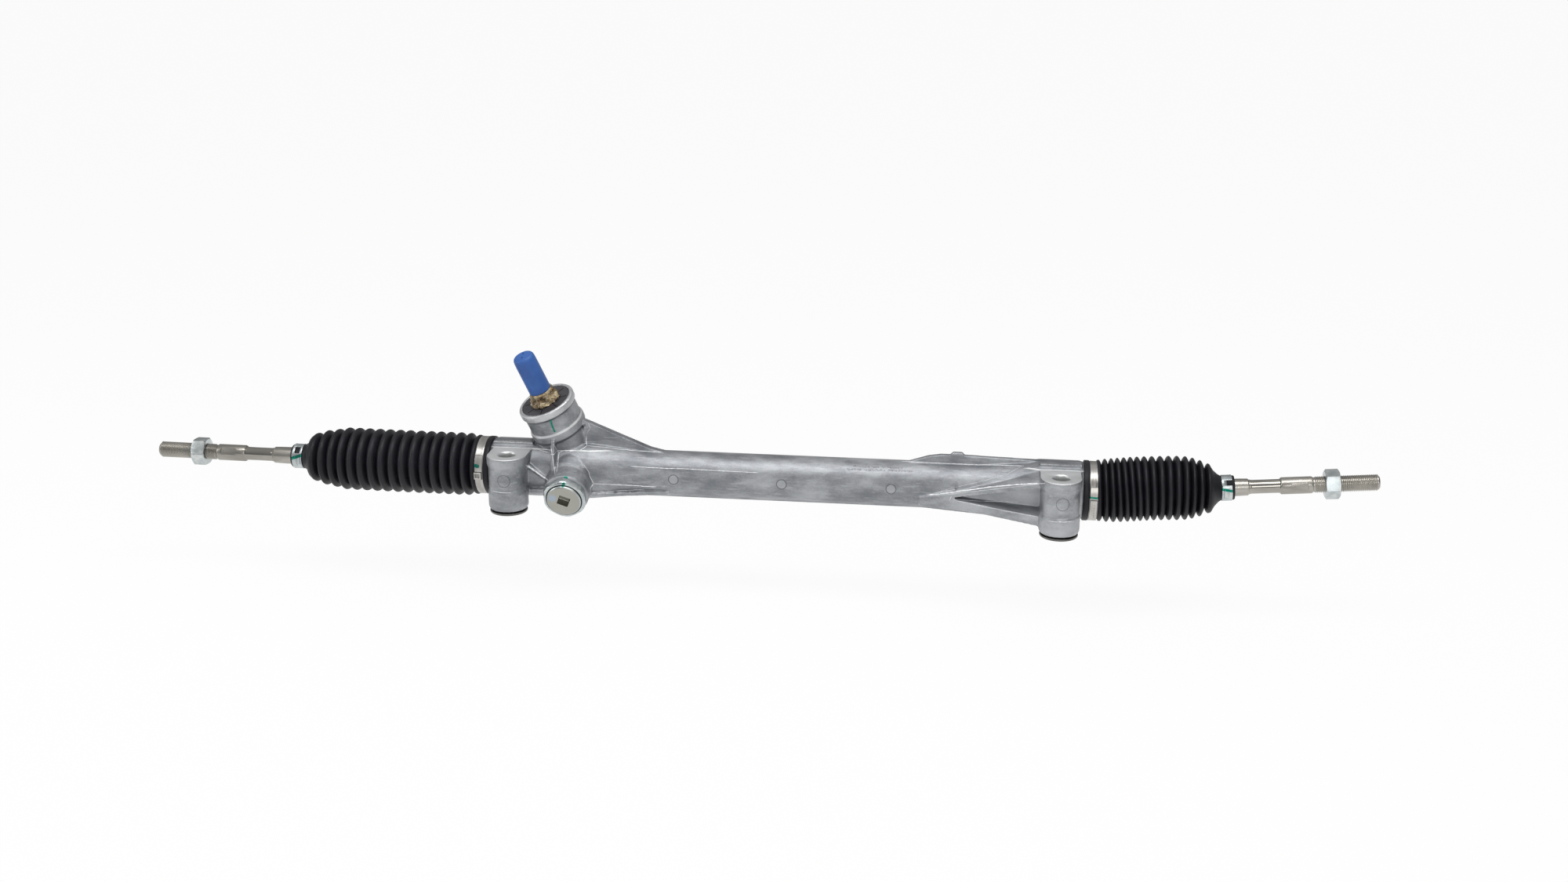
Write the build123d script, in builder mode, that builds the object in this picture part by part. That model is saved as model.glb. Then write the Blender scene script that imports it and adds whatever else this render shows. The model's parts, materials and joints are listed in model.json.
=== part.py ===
from build123d import *
from math import acos, cos, pi, radians, sin, sqrt, tan
import os

# A manual rack and pinion steering gear, in millimetres.
# Origin: midway between the two mounting bolts, on the plane that the bosses sit on.
# +X runs along the rack to the right, +Y to the rear, +Z up along the bolts.
# The rack is drawn where it was left, short of its central position.

# Mounting and the line of the rack
mount_spacing = 473.6
seat_to_axis = 30.0
boss_to_axis = 32.0
shoulder_reach = 19.5
bolt_hole_radius = 7.5
running_clearance = 0.05
assembly_clearance = 0.1

# Rack bar and its travel
rack_radius = 12.0
ball_reach = 60.2
rest_offset = -32.0
rack_travel = 62.0
rack_end_recess = 14.0

# Gear
module_size = 1.84
pinion_teeth = 7
pressure_angle = 20.0
profile_shift = 0.6
rack_addendum = 1.0
pinion_addendum = 0.8
dedendum = 1.25
tooth_backlash = 0.12
pinion_lean_forward = 18.0
pinion_lean_left = 18.4
pinion_inset = 49.3
pinion_offset = 14.8

# Pinion shaft and its bearings
shaft_seat_radius = 8.5
shaft_neck_radius = 8.0
spline_radius = 7.5
journal_radius = 6.0
gear_half_length = 16.0
bearing_outer_radius = 20.0
bearing_width = 12.0
bearing_floor = 36.5
ball_radius = 3.4
ball_count = 8
needle_radius = 1.05
needle_count = 14
needle_length = 9.5
needle_cup_radius = 9.0
needle_cup_length = 12.0
needle_cup_wall = 0.8
ring_thickness = 1.5

# Pinion tower
tower_radius = 23.3
tower_step_radius = 24.8
tower_rim_radius = 25.2
tower_step_low = 35.5
tower_step_high = 41.0
tower_step_slope = 2.5
tower_top = 64.8
rim_height = 6.0
cover_radius = 22.0
cover_thickness = 2.4
cover_slots = 8
seal_height = 6.5

# Cap and film on the shaft's end
cap_radius = 9.65
cap_wall = 1.5
cap_start = 76.5
cap_end = 112.5
wrap_radius = 12.4

# Rack guide
guide_inset = 51.8
guide_radius = 14.0
guide_liner = 1.0
plug_radius = 15.2
plug_face = 48.0
plug_thickness = 11.0
plug_socket = 9.6
plug_turn = -22.0
lock_nut_flats = 35.0
lock_nut_thickness = 6.5
guide_boss_radius = 19.8
spring_wire_radius = 1.1
spring_coil_radius = 6.5

# Housing
tube_radius = 19.5
tube_flat = 17.2
tube_bore_radius = 13.6
end_radius = 25.3
boot_seat_length = 14.0
boot_seat_radius = 23.4
socket_bore_radius = 18.5
boss_radius = 17.2
boss_waist_radius = 16.4
boss_top = 51.1
boss_collar_height = 8.0
boss_step = 20.0
boss_bottom = 3.4
bush_radius = 11.5
bush_length = 42.0
sleeve_radius = 9.0
bush_flange_radius = 16.2
bush_flange = 2.0
end_bush_length = 24.0
end_bush_wall = 2.5
flare_start_inset = 68.8
flare_end_inset = 132.8
flare_radius = 25.5
flat_half_height = 10.5
flat_flare = 23.0
flat_right_inset = 86.8
block_half_width = 17.6
block_front = 21.5
seat_edge = 1.2
pip_radius = 4.4
pip_spacing = 94.2
pip_depth = 0.5
gear_chamber_radius = 10.3

# Ribs, webs and fin of the housing, with heights measured from the rack's axis
rib_thickness = 3.2
gusset_thickness = 8.0
gusset_height = 45.5
keel_thickness = 10.0
keel_tube_depth = 20.2
keel_boss_depth = 30.5
cone_length = 52.0
wedge_inset = 114.8
wedge_reach = 101.5
wedge_front = 19.5
wedge_foot = -14.0
wedge_shelf = -5.0
wedge_head = 15.3
shelf_back_reach = 86.6
shelf_back_front = 5.5
shelf_back = 21.0
pocket_depth = 16.0
pocket_rise = 12.0
fin_inset = 129.8
fin_bump_inset = 93.3
fin_top = 27.0
fin_bump_top = 29.4
fin_thickness = 5.0
left_rib_inset = 37.3

# Boots and their clamps
boot_wall = 1.3
boot_radius = 27.6
boot_root_radius = 22.4
boot_rib_depth = 5.2
boot_taper = (1.8, 3.6, 6.4)
boot_collar_radius = 25.8
boot_band_groove_radius = 24.6
boot_lip = 4.8
boot_band_width = 7.2
boot_pitch_left = 9.4
boot_pitch_right = 6.2
boot_end_left = 92.6
boot_end_right = 98.0
boot_cone = 7.4
band_thickness = 0.7
boot_grip = 10.8
boot_grip_wall = 2.4
clip_place = 10.4
clip_width = 8.6
clip_thickness = 0.8

# Ball joints and tie rods
ball_joint_radius = 12.0
ball_seat_wall = 1.4
socket_radius = 17.0
socket_mouth = 9.0
lock_washer = 1.6
rod_radius = 7.5
rod_length = 217.0
thread_radius = 7.0
thread_pitch_radius = 6.5
thread_length = 53.0
neck_radius = 6.0
neck_from_tip = 105.5
neck_length = 25.0
flats_from_tip = 72.5
flats_chord = 6.4
flats_turn_left = 28.0
flats_turn_right = 7.0
jam_nut_flats = 22.0
jam_nut_thickness = 12.0
jam_nut_place = 44.5
jam_nut_turn_left = 32.0
jam_nut_turn_right = 18.0
rod_tilt_left = 0.42
rod_tilt_right = 4.77

# The rack's line and the planes that the rest is drawn on
right_boss_x = mount_spacing / 2
left_boss_x = -mount_spacing / 2
shoulder_x = right_boss_x + shoulder_reach
ball_centre_distance = 2 * (shoulder_x + ball_reach)
pinion_x = left_boss_x + pinion_inset
guide_x = left_boss_x + guide_inset
flare_start = left_boss_x + flare_start_inset
flare_end = left_boss_x + flare_end_inset
wedge_left = right_boss_x - wedge_inset
fin_left = right_boss_x - fin_inset
fin_bump = right_boss_x - fin_bump_inset
left_rib_x = left_boss_x + left_rib_inset
axis_y = boss_to_axis
axis_z = seat_to_axis
along = Plane(origin=(0, axis_y, axis_z), x_dir=(0, -1, 0), z_dir=(1, 0, 0))
lean = radians(pinion_lean_forward)
slope = radians(pinion_lean_left)
guide_direction = Vector(0, cos(lean), sin(lean))
pinion_direction = Vector(-sin(slope), -cos(slope) * sin(lean), cos(slope) * cos(lean))
tooth_direction = guide_direction.cross(pinion_direction)
pinion_base = Vector(pinion_x, axis_y, axis_z) + guide_direction * pinion_offset
tower = Plane(origin=pinion_base, x_dir=guide_direction, z_dir=pinion_direction)
guide = Plane(origin=(guide_x, axis_y, axis_z), x_dir=(1, 0, 0), z_dir=-guide_direction)
mesh = Plane(origin=(pinion_x, axis_y, axis_z), x_dir=tooth_direction, z_dir=pinion_direction)
ball_left_x = rest_offset - ball_centre_distance / 2
ball_right_x = rest_offset + ball_centre_distance / 2
stop_x = ball_centre_distance / 2 - rack_travel - rack_end_recess - 2 * assembly_clearance
housing_end_x = shoulder_x + boot_seat_length
os.makedirs("parts", exist_ok=True)


def turn(plane, outline, mode=Mode.ADD):
    """Turns an outline of (radius, height) pairs about the plane's normal."""
    half = Plane(origin=plane.origin, x_dir=plane.x_dir, z_dir=-plane.y_dir)
    with BuildSketch(half) as profile:
        with BuildLine():
            Polyline(*outline, close=True)
        make_face()
    revolve(profile.sketch, axis=Axis(plane.origin, plane.z_dir), mode=mode)


def tube_outline(inner, outer, low, high):
    return [(inner, low), (outer, low), (outer, high), (inner, high)]


def bead(plane, radius, place, section, mode=Mode.ADD):
    """Turns a round section about the plane's normal, as an O-ring or a ball's groove."""
    half = Plane(origin=plane.origin, x_dir=plane.x_dir, z_dir=-plane.y_dir)
    with BuildSketch(half) as profile:
        with Locations((radius, place)):
            Circle(section)
    revolve(profile.sketch, axis=Axis(plane.origin, plane.z_dir), mode=mode)


def slab(plane, corners, thickness, mode=Mode.ADD):
    """Extrudes a flat polygon along the plane's normal."""
    with BuildSketch(plane) as outline:
        with BuildLine():
            Polyline(*corners, close=True)
        make_face()
    extrude(outline.sketch, amount=thickness, mode=mode)


def plate(corners, thickness):
    """A flat plate under the polygon of corners, given in space and counter-clockwise from above."""
    first, second, third = [Vector(*corner) for corner in corners[:3]]
    normal = (second - first).cross(third - first).normalized()
    face_plane = Plane(origin=first, x_dir=(second - first).normalized(), z_dir=normal)
    flat = [face_plane.to_local_coords(Vector(*corner)) for corner in corners]
    slab(face_plane, [(point.X, point.Y) for point in flat], -thickness)


def save(piece, label):
    piece.part.label = label
    export_step(piece.part, f"parts/{label}.step")


# Housing: the cast tube with its two bosses, pinion tower and guide boss
tower_foot = -(gear_half_length + needle_cup_length + 9)
needle_floor = -(gear_half_length + needle_cup_length + 4)
cover_floor = tower_top - cover_thickness - 0.6
cone_left = right_boss_x - block_half_width - cone_length
cone_right = right_boss_x - block_half_width

# The wedge, cut off along its front and along the shelf that slopes up to the boss
wedge_right = wedge_left + wedge_reach
pocket_right = right_boss_x - boss_radius + 1.4
wedge_corner = Vector(wedge_left + 3, axis_y - wedge_front, axis_z + wedge_shelf)
wedge_head_corner = Vector(wedge_right, 0, axis_z + wedge_head)
shelf_corner = Vector(wedge_left + shelf_back_reach, axis_y - shelf_back_front, axis_z + shelf_back)
front_line = Vector(wedge_reach, wedge_front - axis_y, 0)
front_face = Plane(origin=(wedge_left, axis_y - wedge_front, axis_z), x_dir=front_line,
                   z_dir=front_line.cross(Vector(0, 0, 1)))
shelf_normal = (wedge_head_corner - wedge_corner).cross(shelf_corner - wedge_corner)
shelf_face = Plane(origin=wedge_corner, x_dir=wedge_head_corner - wedge_corner, z_dir=shelf_normal)
with BuildPart() as wedge:
    with BuildSketch(Plane.XZ.offset(-axis_y)) as side_view:
        with BuildLine():
            Polyline((wedge_left - 4, axis_z + wedge_foot + 0.6), (wedge_left, axis_z + wedge_foot),
                     (wedge_left + 49, axis_z + wedge_foot - 2.6),
                     (wedge_right - 2, axis_z + wedge_foot - 9.5),
                     (wedge_right + 4, axis_z + wedge_foot - 9.5), (wedge_right + 4, axis_z + shelf_back),
                     (wedge_left - 4, axis_z + shelf_back), close=True)
        make_face()
    extrude(side_view.sketch, amount=axis_y + 2)
    split(bisect_by=front_face, keep=Keep.BOTTOM)
    split(bisect_by=shelf_face, keep=Keep.BOTTOM)

with BuildPart() as rack_housing:
    turn(along, [
        (0, -housing_end_x), (boot_seat_radius - seat_edge, -housing_end_x),
        (boot_seat_radius, -housing_end_x + seat_edge), (boot_seat_radius, -shoulder_x),
        (end_radius - seat_edge, -shoulder_x), (end_radius, -shoulder_x + 3 * seat_edge),
        (end_radius, flare_start - 12), (flare_radius, flare_start), (tube_radius + 1.2, flare_end - 22),
        (tube_radius, flare_end), (tube_radius, cone_left), (end_radius - 2, cone_right - 12),
        (end_radius, cone_right), (end_radius, shoulder_x - 3 * seat_edge),
        (end_radius - seat_edge, shoulder_x),
        (boot_seat_radius, shoulder_x), (boot_seat_radius, housing_end_x - seat_edge),
        (boot_seat_radius - seat_edge, housing_end_x), (0, housing_end_x),
    ])
    # Flat front of the tube, where the mould's pins push
    flat_left = guide_x + 15
    flat_right = right_boss_x - flat_right_inset
    with BuildSketch(Plane.XY.offset(axis_z - flat_half_height)) as front:
        with BuildLine():
            Polyline((flat_left, axis_y - flat_flare), (flare_end, axis_y - tube_flat),
                     (flat_right, axis_y - tube_flat), (flat_right, axis_y - flare_radius - 1),
                     (flat_left, axis_y - flare_radius - 1), close=True)
        make_face()
    extrude(front.sketch, amount=2 * flat_half_height, mode=Mode.SUBTRACT)
    # Bosses, each with a squared block behind its machined top
    for boss_x in (left_boss_x, right_boss_x):
        boss = Plane(origin=(boss_x, 0, 0))
        turn(boss, [
            (0, boss_bottom), (boss_radius - 1.2, boss_bottom), (boss_radius, boss_bottom + 2.5),
            (boss_radius, boss_step - 1.2), (boss_waist_radius, boss_step),
            (boss_waist_radius, boss_top - boss_collar_height - 2),
            (boss_radius + 0.3, boss_top - boss_collar_height + 0.5),
            (boss_radius + 0.3, boss_top - 1), (boss_radius - 0.4, boss_top), (0, boss_top),
        ])
        with BuildSketch(Plane.XY.offset(boss_top - boss_collar_height)) as collar:
            with Locations((boss_x, axis_y / 2)):
                Rectangle(2 * boss_radius, axis_y)
        extrude(collar.sketch, amount=boss_collar_height)
        with BuildSketch(Plane.XY.offset(boss_bottom + 6)) as web:
            with Locations((boss_x, axis_y / 2)):
                Rectangle(2 * boss_waist_radius - 4, axis_y)
        extrude(web.sketch, amount=boss_top - boss_bottom - 8)
        with BuildSketch(Plane.XY.offset(axis_z)) as block:
            with Locations((boss_x, (block_front + axis_y) / 2)):
                Rectangle(2 * block_half_width, axis_y - block_front)
        extrude(block.sketch, amount=end_radius)
    # Pinion tower with its raised step and rim
    turn(tower, [
        (0, tower_foot), (12, tower_foot), (14.5, tower_foot + 3), (15.5, -16), (tower_radius - 3, -4),
        (tower_radius, 8), (tower_radius, tower_step_low - tower_step_slope),
        (tower_step_radius, tower_step_low), (tower_step_radius, tower_step_high),
        (tower_radius, tower_step_high + tower_step_slope), (tower_radius, tower_top - rim_height - 1.5),
        (tower_rim_radius, tower_top - rim_height), (tower_rim_radius, tower_top - 1.2),
        (tower_rim_radius - 1.2, tower_top), (0, tower_top),
    ])
    # Guide boss that faces the front
    guide_boss_face = plug_face - 2 - lock_nut_thickness
    turn(guide, [
        (0, 0), (guide_boss_radius + 4, 0), (guide_boss_radius + 3, 14), (guide_boss_radius + 0.5, 24),
        (guide_boss_radius, guide_boss_face - 1.5), (guide_boss_radius - 1.5, guide_boss_face),
        (0, guide_boss_face),
    ])
    # Gusset from the tower down to the tube
    gusset_left = guide_x + 10
    with BuildSketch(Plane.XZ.offset(-axis_y - gusset_thickness / 2)) as gusset:
        with BuildLine():
            Polyline((gusset_left, axis_z), (gusset_left, axis_z + gusset_height),
                     (gusset_left + 5.4, axis_z + gusset_height - 2),
                     (flare_end - 13, axis_z + tube_radius + 2.8),
                     (flare_end, axis_z + tube_radius - 0.2), (flare_end, axis_z), close=True)
        make_face()
    extrude(gusset.sketch, amount=gusset_thickness)
    # Keel under the tube, from the guide boss to the right boss
    keel_left = guide_x + 14
    keel_right = right_boss_x - 8
    with BuildSketch(Plane.XZ.offset(-axis_y + keel_thickness * 0.6)) as keel:
        with BuildLine():
            Polyline((keel_left, axis_z), (keel_left, axis_z - keel_tube_depth + 4.7),
                     (keel_left + 22, axis_z - keel_tube_depth + 2.2),
                     (flare_end - 16, axis_z - keel_tube_depth),
                     (wedge_left - 2, axis_z - keel_tube_depth),
                     (cone_left + 4, axis_z - keel_tube_depth - 3.8),
                     (keel_right, axis_z - keel_boss_depth), (keel_right, axis_z), close=True)
        make_face()
    extrude(keel.sketch, amount=-keel_thickness)
    # Wedge from the tube out to the right boss, with a pocket in its front
    add(wedge.part)
    with BuildSketch(Plane.XZ.offset(2)) as pocket:
        with BuildLine():
            Polyline((wedge_left + 25.5, axis_z - 6.6), (pocket_right, axis_z + wedge_head - 5),
                     (pocket_right, axis_z - 15.3), (wedge_left + 64, axis_z - 12.4),
                     (wedge_left + 28, axis_z - 8.6), close=True)
        make_face()
    rise = radians(pocket_rise)
    extrude(pocket.sketch, amount=(axis_y - pocket_depth + 2) / cos(rise), dir=(0, cos(rise), sin(rise)),
            mode=Mode.SUBTRACT)
    # Fin along the top with its small bump
    fin_right = right_boss_x - 12
    fin_foot = axis_z + tube_radius - 4
    with BuildSketch(Plane.XZ.offset(-axis_y + fin_thickness / 2)) as fin:
        with BuildLine():
            Polyline((fin_left, fin_foot), (fin_left, axis_z + tube_radius),
                     (fin_bump - 19, axis_z + fin_top - 1.8), (fin_bump - 8, axis_z + fin_top),
                     (fin_bump, axis_z + fin_top), (fin_bump + 2, axis_z + fin_bump_top),
                     (fin_bump + 10, axis_z + fin_bump_top), (fin_bump + 12, axis_z + fin_top),
                     (fin_right, axis_z + end_radius), (fin_right, fin_foot), close=True)
        make_face()
    extrude(fin.sketch, amount=-fin_thickness)
    # Ribs between the left boss, the tower and the guide boss
    left_rib_start = left_boss_x + 14
    plate([(left_rib_start, 4, axis_z + 13), (left_rib_x, 6, axis_z - 3),
           (left_rib_x + 4, axis_y, axis_z - 3),
           (left_rib_start + 4, axis_y, axis_z + 13)], rib_thickness)
    plate([(left_rib_start, 4, axis_z - 12), (left_rib_x, 3, axis_z - 10), (left_rib_x, axis_y, axis_z - 10),
           (left_rib_start, axis_y, axis_z - 12)], rib_thickness)
    with BuildSketch(Plane.YZ.offset(left_rib_x)) as upright:
        with BuildLine():
            Polyline((axis_y, axis_z + gusset_height - 5.5), (8, axis_z + gusset_height - 13.5),
                     (3, axis_z + 12),
                     (4, axis_z - 1), (axis_y, axis_z - 1), close=True)
        make_face()
    extrude(upright.sketch, amount=rib_thickness)
    # Ribs to the right of the guide boss
    guide_rib_left = guide_x + 15
    plate([(guide_rib_left, 12, axis_z - 6.5), (flare_end + 3, axis_y - tube_flat - 1, axis_z - 6.9),
           (flare_end + 3, axis_y, axis_z - 6.9), (guide_rib_left, axis_y, axis_z - 6.5)], rib_thickness)
    plate([(guide_rib_left, 9, axis_z - 15), (flare_end + 6, axis_y - tube_flat, axis_z - 11.7),
           (flare_end + 6, axis_y, axis_z - 11.7), (guide_rib_left, axis_y, axis_z - 15)], rib_thickness)
    # Bores for the rack, the ball sockets and the end bush
    turn(along, tube_outline(0, tube_bore_radius, -housing_end_x, housing_end_x), Mode.SUBTRACT)
    turn(along, tube_outline(0, socket_bore_radius, -housing_end_x, -stop_x), Mode.SUBTRACT)
    turn(along, tube_outline(0, socket_bore_radius, stop_x, housing_end_x), Mode.SUBTRACT)
    end_bush_radius = rack_radius + running_clearance + end_bush_wall
    turn(along, tube_outline(0, end_bush_radius, stop_x - end_bush_length, stop_x), Mode.SUBTRACT)
    # Bore of the tower, from the cover down to the needle bearing
    turn(tower, [
        (0, needle_floor), (needle_cup_radius - 1.5, needle_floor),
        (needle_cup_radius - 1.5, needle_floor + 1),
        (needle_cup_radius, needle_floor + 1), (needle_cup_radius, -gear_half_length - 2),
        (gear_chamber_radius, -gear_half_length - 2), (gear_chamber_radius, bearing_floor - 3),
        (bearing_outer_radius - 3, bearing_floor - 3), (bearing_outer_radius - 3, bearing_floor),
        (bearing_outer_radius, bearing_floor), (bearing_outer_radius, bearing_floor + bearing_width),
        (bearing_outer_radius + 1, bearing_floor + bearing_width),
        (bearing_outer_radius + 1, bearing_floor + bearing_width + ring_thickness),
        (bearing_outer_radius, bearing_floor + bearing_width + ring_thickness),
        (bearing_outer_radius, cover_floor), (cover_radius, cover_floor),
        (cover_radius, tower_top), (0, tower_top),
    ], Mode.SUBTRACT)
    # Bore of the guide boss
    turn(guide, tube_outline(0, guide_radius, 0, plug_face - plug_thickness), Mode.SUBTRACT)
    turn(guide, tube_outline(0, plug_radius, plug_face - plug_thickness, plug_face), Mode.SUBTRACT)
    # Bolt holes and bush bores of the bosses
    for boss_x in (left_boss_x, right_boss_x):
        boss = Plane(origin=(boss_x, 0, 0))
        turn(boss, [
            (0, 0), (bush_radius, 0), (bush_radius, bush_flange + bush_length),
            (bolt_hole_radius, bush_flange + bush_length), (bolt_hole_radius, boss_top - 1),
            (bolt_hole_radius + 1, boss_top), (bolt_hole_radius + 1, boss_top + 1), (0, boss_top + 1),
        ], Mode.SUBTRACT)
    # Round marks of the mould's pins
    with BuildSketch(Plane.XZ.offset(-axis_y + tube_flat)) as pips:
        with GridLocations(pip_spacing, 0, 3, 1):
            with Locations((0, axis_z - 0.7)):
                Circle(pip_radius)
                Circle(pip_radius - 0.5, mode=Mode.SUBTRACT)
    extrude(pips.sketch, amount=-pip_depth, mode=Mode.SUBTRACT)
save(rack_housing, "rack_housing")

# Rubber bushes with flanged steel sleeves, pressed into the bosses from below
bush_top = bush_flange + bush_length
for boss_x, name in ((left_boss_x, "left"), (right_boss_x, "right")):
    boss = Plane(origin=(boss_x, 0, 0))
    with BuildPart() as sleeve:
        turn(boss, [
            (bolt_hole_radius, 0), (bush_flange_radius - 0.6, 0), (bush_flange_radius, 0.6),
            (bush_flange_radius, bush_flange), (sleeve_radius, bush_flange), (sleeve_radius, bush_top),
            (bolt_hole_radius, bush_top),
        ])
    save(sleeve, f"{name}_mount_sleeve")
    with BuildPart() as bush:
        turn(boss, [
            (sleeve_radius, bush_flange), (bush_flange_radius - 1.4, bush_flange),
            (bush_flange_radius - 1.4, boss_bottom), (bush_radius, boss_bottom), (bush_radius, bush_top),
            (sleeve_radius, bush_top),
        ])
    save(bush, f"{name}_mount_rubber")

# Rack bar with its inclined teeth on the rear and a threaded hole in each end
bar_left = ball_left_x + rack_end_recess
bar_right = ball_right_x - rack_end_recess
shank_radius = 8.0
shank_length = 16.0
tooth_pitch = pi * module_size
pitch_along_rack = tooth_pitch / cos(slope)
rack_reference = pinion_offset - module_size * (pinion_teeth / 2 + profile_shift)
rack_tip = rack_reference + module_size * rack_addendum
rack_root = rack_reference - module_size * dedendum
flank = tan(radians(pressure_angle))
gaps_left = round((rack_travel - rest_offset) / pitch_along_rack) + 2
gaps_right = round((rack_travel + rest_offset) / pitch_along_rack) + 2

with BuildPart() as rack_bar:
    turn(along, [
        (0, bar_left), (rack_radius - 1, bar_left), (rack_radius, bar_left + 1),
        (rack_radius, bar_right - 1), (rack_radius - 1, bar_right), (0, bar_right),
    ])
    turn(along, tube_outline(0, shank_radius, bar_left, bar_left + shank_length + 2), Mode.SUBTRACT)
    turn(along, tube_outline(0, shank_radius, bar_right - shank_length - 2, bar_right), Mode.SUBTRACT)
    with BuildSketch(mesh) as tooth_gaps:
        for step in range(-gaps_left, gaps_right + 1):
            centre = step * tooth_pitch
            root_half = tooth_pitch / 4 - (rack_reference - rack_root) * flank
            open_half = tooth_pitch / 4 + (rack_radius - rack_reference) * flank
            with BuildLine():
                Polyline((centre - root_half, rack_root), (centre + root_half, rack_root),
                         (centre + open_half, rack_radius), (centre - open_half, rack_radius), close=True)
            make_face()
        with BuildLine():
            Polyline((-(gaps_left + 0.3) * tooth_pitch, rack_tip),
                     ((gaps_right + 0.3) * tooth_pitch, rack_tip),
                     ((gaps_right + 1) * tooth_pitch, rack_radius + 1),
                     (-(gaps_left + 1) * tooth_pitch, rack_radius + 1), close=True)
        make_face()
    gap_reach = rack_radius + 2 + gaps_left * pitch_along_rack * sin(slope)
    extrude(tooth_gaps.sketch, amount=gap_reach, both=True, mode=Mode.SUBTRACT)
save(rack_bar, "rack_bar")

# Plastic bush that carries the rack's right end, and its two rings
bush_right = stop_x - 2 * assembly_clearance
bush_left = stop_x - end_bush_length
ring_radius = 0.55
ring_places = (bush_left + end_bush_length / 4, bush_left + 3 * end_bush_length / 4)
with BuildPart() as end_bush:
    turn(along, tube_outline(rack_radius + running_clearance, end_bush_radius, bush_left, bush_right))
    for place in ring_places:
        turn(along, tube_outline(end_bush_radius - 2 * ring_radius, end_bush_radius + 1,
                                 place - 1.4 * ring_radius, place + 1.4 * ring_radius), Mode.SUBTRACT)
save(end_bush, "rack_end_bush")
with BuildPart() as end_bush_rings:
    for place in ring_places:
        bead(along, end_bush_radius - ring_radius, place, ring_radius)
save(end_bush_rings, "end_bush_rings")

# Pinion shaft: seven involute teeth cut in one with the shaft
pitch_radius = module_size * pinion_teeth / 2
base_radius = pitch_radius * cos(radians(pressure_angle))
tip_radius = pitch_radius + module_size * (profile_shift + pinion_addendum)
root_radius = pitch_radius + module_size * (profile_shift - dedendum)
tooth_thickness = module_size * (pi / 2 + 2 * profile_shift * flank) - tooth_backlash
shaft_shoulder_radius = 10.0
bearing_top = bearing_floor + bearing_width
spline_start = cap_start + 0.5
spline_end = cap_end - 6


def involute(angle):
    return tan(angle) - angle


def tooth_half_angle(radius):
    """Half the angle that a tooth spans at a radius."""
    flank_angle = acos(min(1, base_radius / radius))
    return tooth_thickness / (2 * pitch_radius) + involute(radians(pressure_angle)) - involute(flank_angle)


def polar(radius, angle):
    return (radius * cos(angle), radius * sin(angle))


with BuildPart() as pinion_shaft:
    with BuildSketch(tower.offset(-gear_half_length)) as gear:
        Circle(root_radius + 0.01)
        for tooth in range(pinion_teeth):
            middle = pi + 2 * pi * tooth / pinion_teeth
            radii = [base_radius + (tip_radius - base_radius) * (share / 5) ** 1.5 for share in range(6)]
            falling = [polar(radius, middle + tooth_half_angle(radius)) for radius in radii]
            rising = [polar(radius, middle - tooth_half_angle(radius)) for radius in reversed(radii)]
            with BuildLine():
                foot = Line(polar(root_radius * 0.6, middle + tooth_half_angle(base_radius)), falling[0])
                Spline(*falling)
                Line(falling[-1], rising[0])
                Spline(*rising)
                Line(rising[-1], polar(root_radius * 0.6, middle - tooth_half_angle(base_radius)))
                Line(polar(root_radius * 0.6, middle - tooth_half_angle(base_radius)), foot @ 0)
            make_face()
    extrude(gear.sketch, amount=2 * gear_half_length)
    journal_end = needle_floor + 1.5
    turn(tower, [
        (0, journal_end), (journal_radius - 0.8, journal_end), (journal_radius, journal_end + 0.8),
        (journal_radius, -gear_half_length), (0, -gear_half_length),
    ])
    turn(tower, [
        (0, gear_half_length), (shaft_seat_radius, gear_half_length),
        (shaft_seat_radius, bearing_floor - 3),
        (shaft_shoulder_radius, bearing_floor - 3), (shaft_shoulder_radius, bearing_floor),
        (shaft_seat_radius, bearing_floor), (shaft_seat_radius, bearing_top),
        (shaft_neck_radius - 0.1, bearing_top), (shaft_neck_radius - 0.1, bearing_top + ring_thickness),
        (shaft_neck_radius, bearing_top + ring_thickness), (shaft_neck_radius, spline_start - 1),
        (spline_radius, spline_start), (spline_radius, spline_start + 10),
        (spline_radius - 0.9, spline_start + 11.5),
        (spline_radius - 0.9, spline_start + 17), (spline_radius, spline_start + 18.5),
        (spline_radius, spline_end - 1), (spline_radius - 1, spline_end), (0, spline_end),
    ])
save(pinion_shaft, "pinion_shaft")

# Upper ball bearing
ball_circle = (shaft_seat_radius + bearing_outer_radius) / 2
race_half_gap = 0.64 * ball_radius
bearing_middle = bearing_floor + bearing_width / 2
race_edge = 0.6


def race(inner, outer):
    """A bearing ring between two radii, with the balls' groove cut in its section."""
    half = Plane(origin=tower.origin, x_dir=tower.x_dir, z_dir=-tower.y_dir)
    with BuildSketch(half) as section:
        with Locations(((inner + outer) / 2, bearing_middle)):
            RectangleRounded(outer - inner, bearing_width, race_edge)
        with Locations((ball_circle, bearing_middle)):
            Circle(ball_radius + running_clearance, mode=Mode.SUBTRACT)
    revolve(section.sketch, axis=Axis(tower.origin, tower.z_dir))


with BuildPart() as outer_race:
    race(ball_circle + race_half_gap, bearing_outer_radius)
save(outer_race, "upper_bearing_outer_race")
with BuildPart() as inner_race:
    race(shaft_seat_radius, ball_circle - race_half_gap)
save(inner_race, "upper_bearing_inner_race")
with BuildPart() as bearing_balls:
    with Locations(tower.offset(bearing_middle)):
        with PolarLocations(ball_circle, ball_count):
            Sphere(ball_radius)
save(bearing_balls, "upper_bearing_balls")
with BuildPart() as bearing_cage:
    turn(tower, tube_outline(ball_circle - 0.6, ball_circle + 0.6,
                             bearing_middle - 4.6, bearing_middle + 4.6))
    with Locations(tower.offset(bearing_middle)):
        with PolarLocations(ball_circle, ball_count):
            Cylinder(ball_radius + assembly_clearance, 4, rotation=(0, 90, 0), mode=Mode.SUBTRACT)
save(bearing_cage, "upper_bearing_cage")

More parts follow.
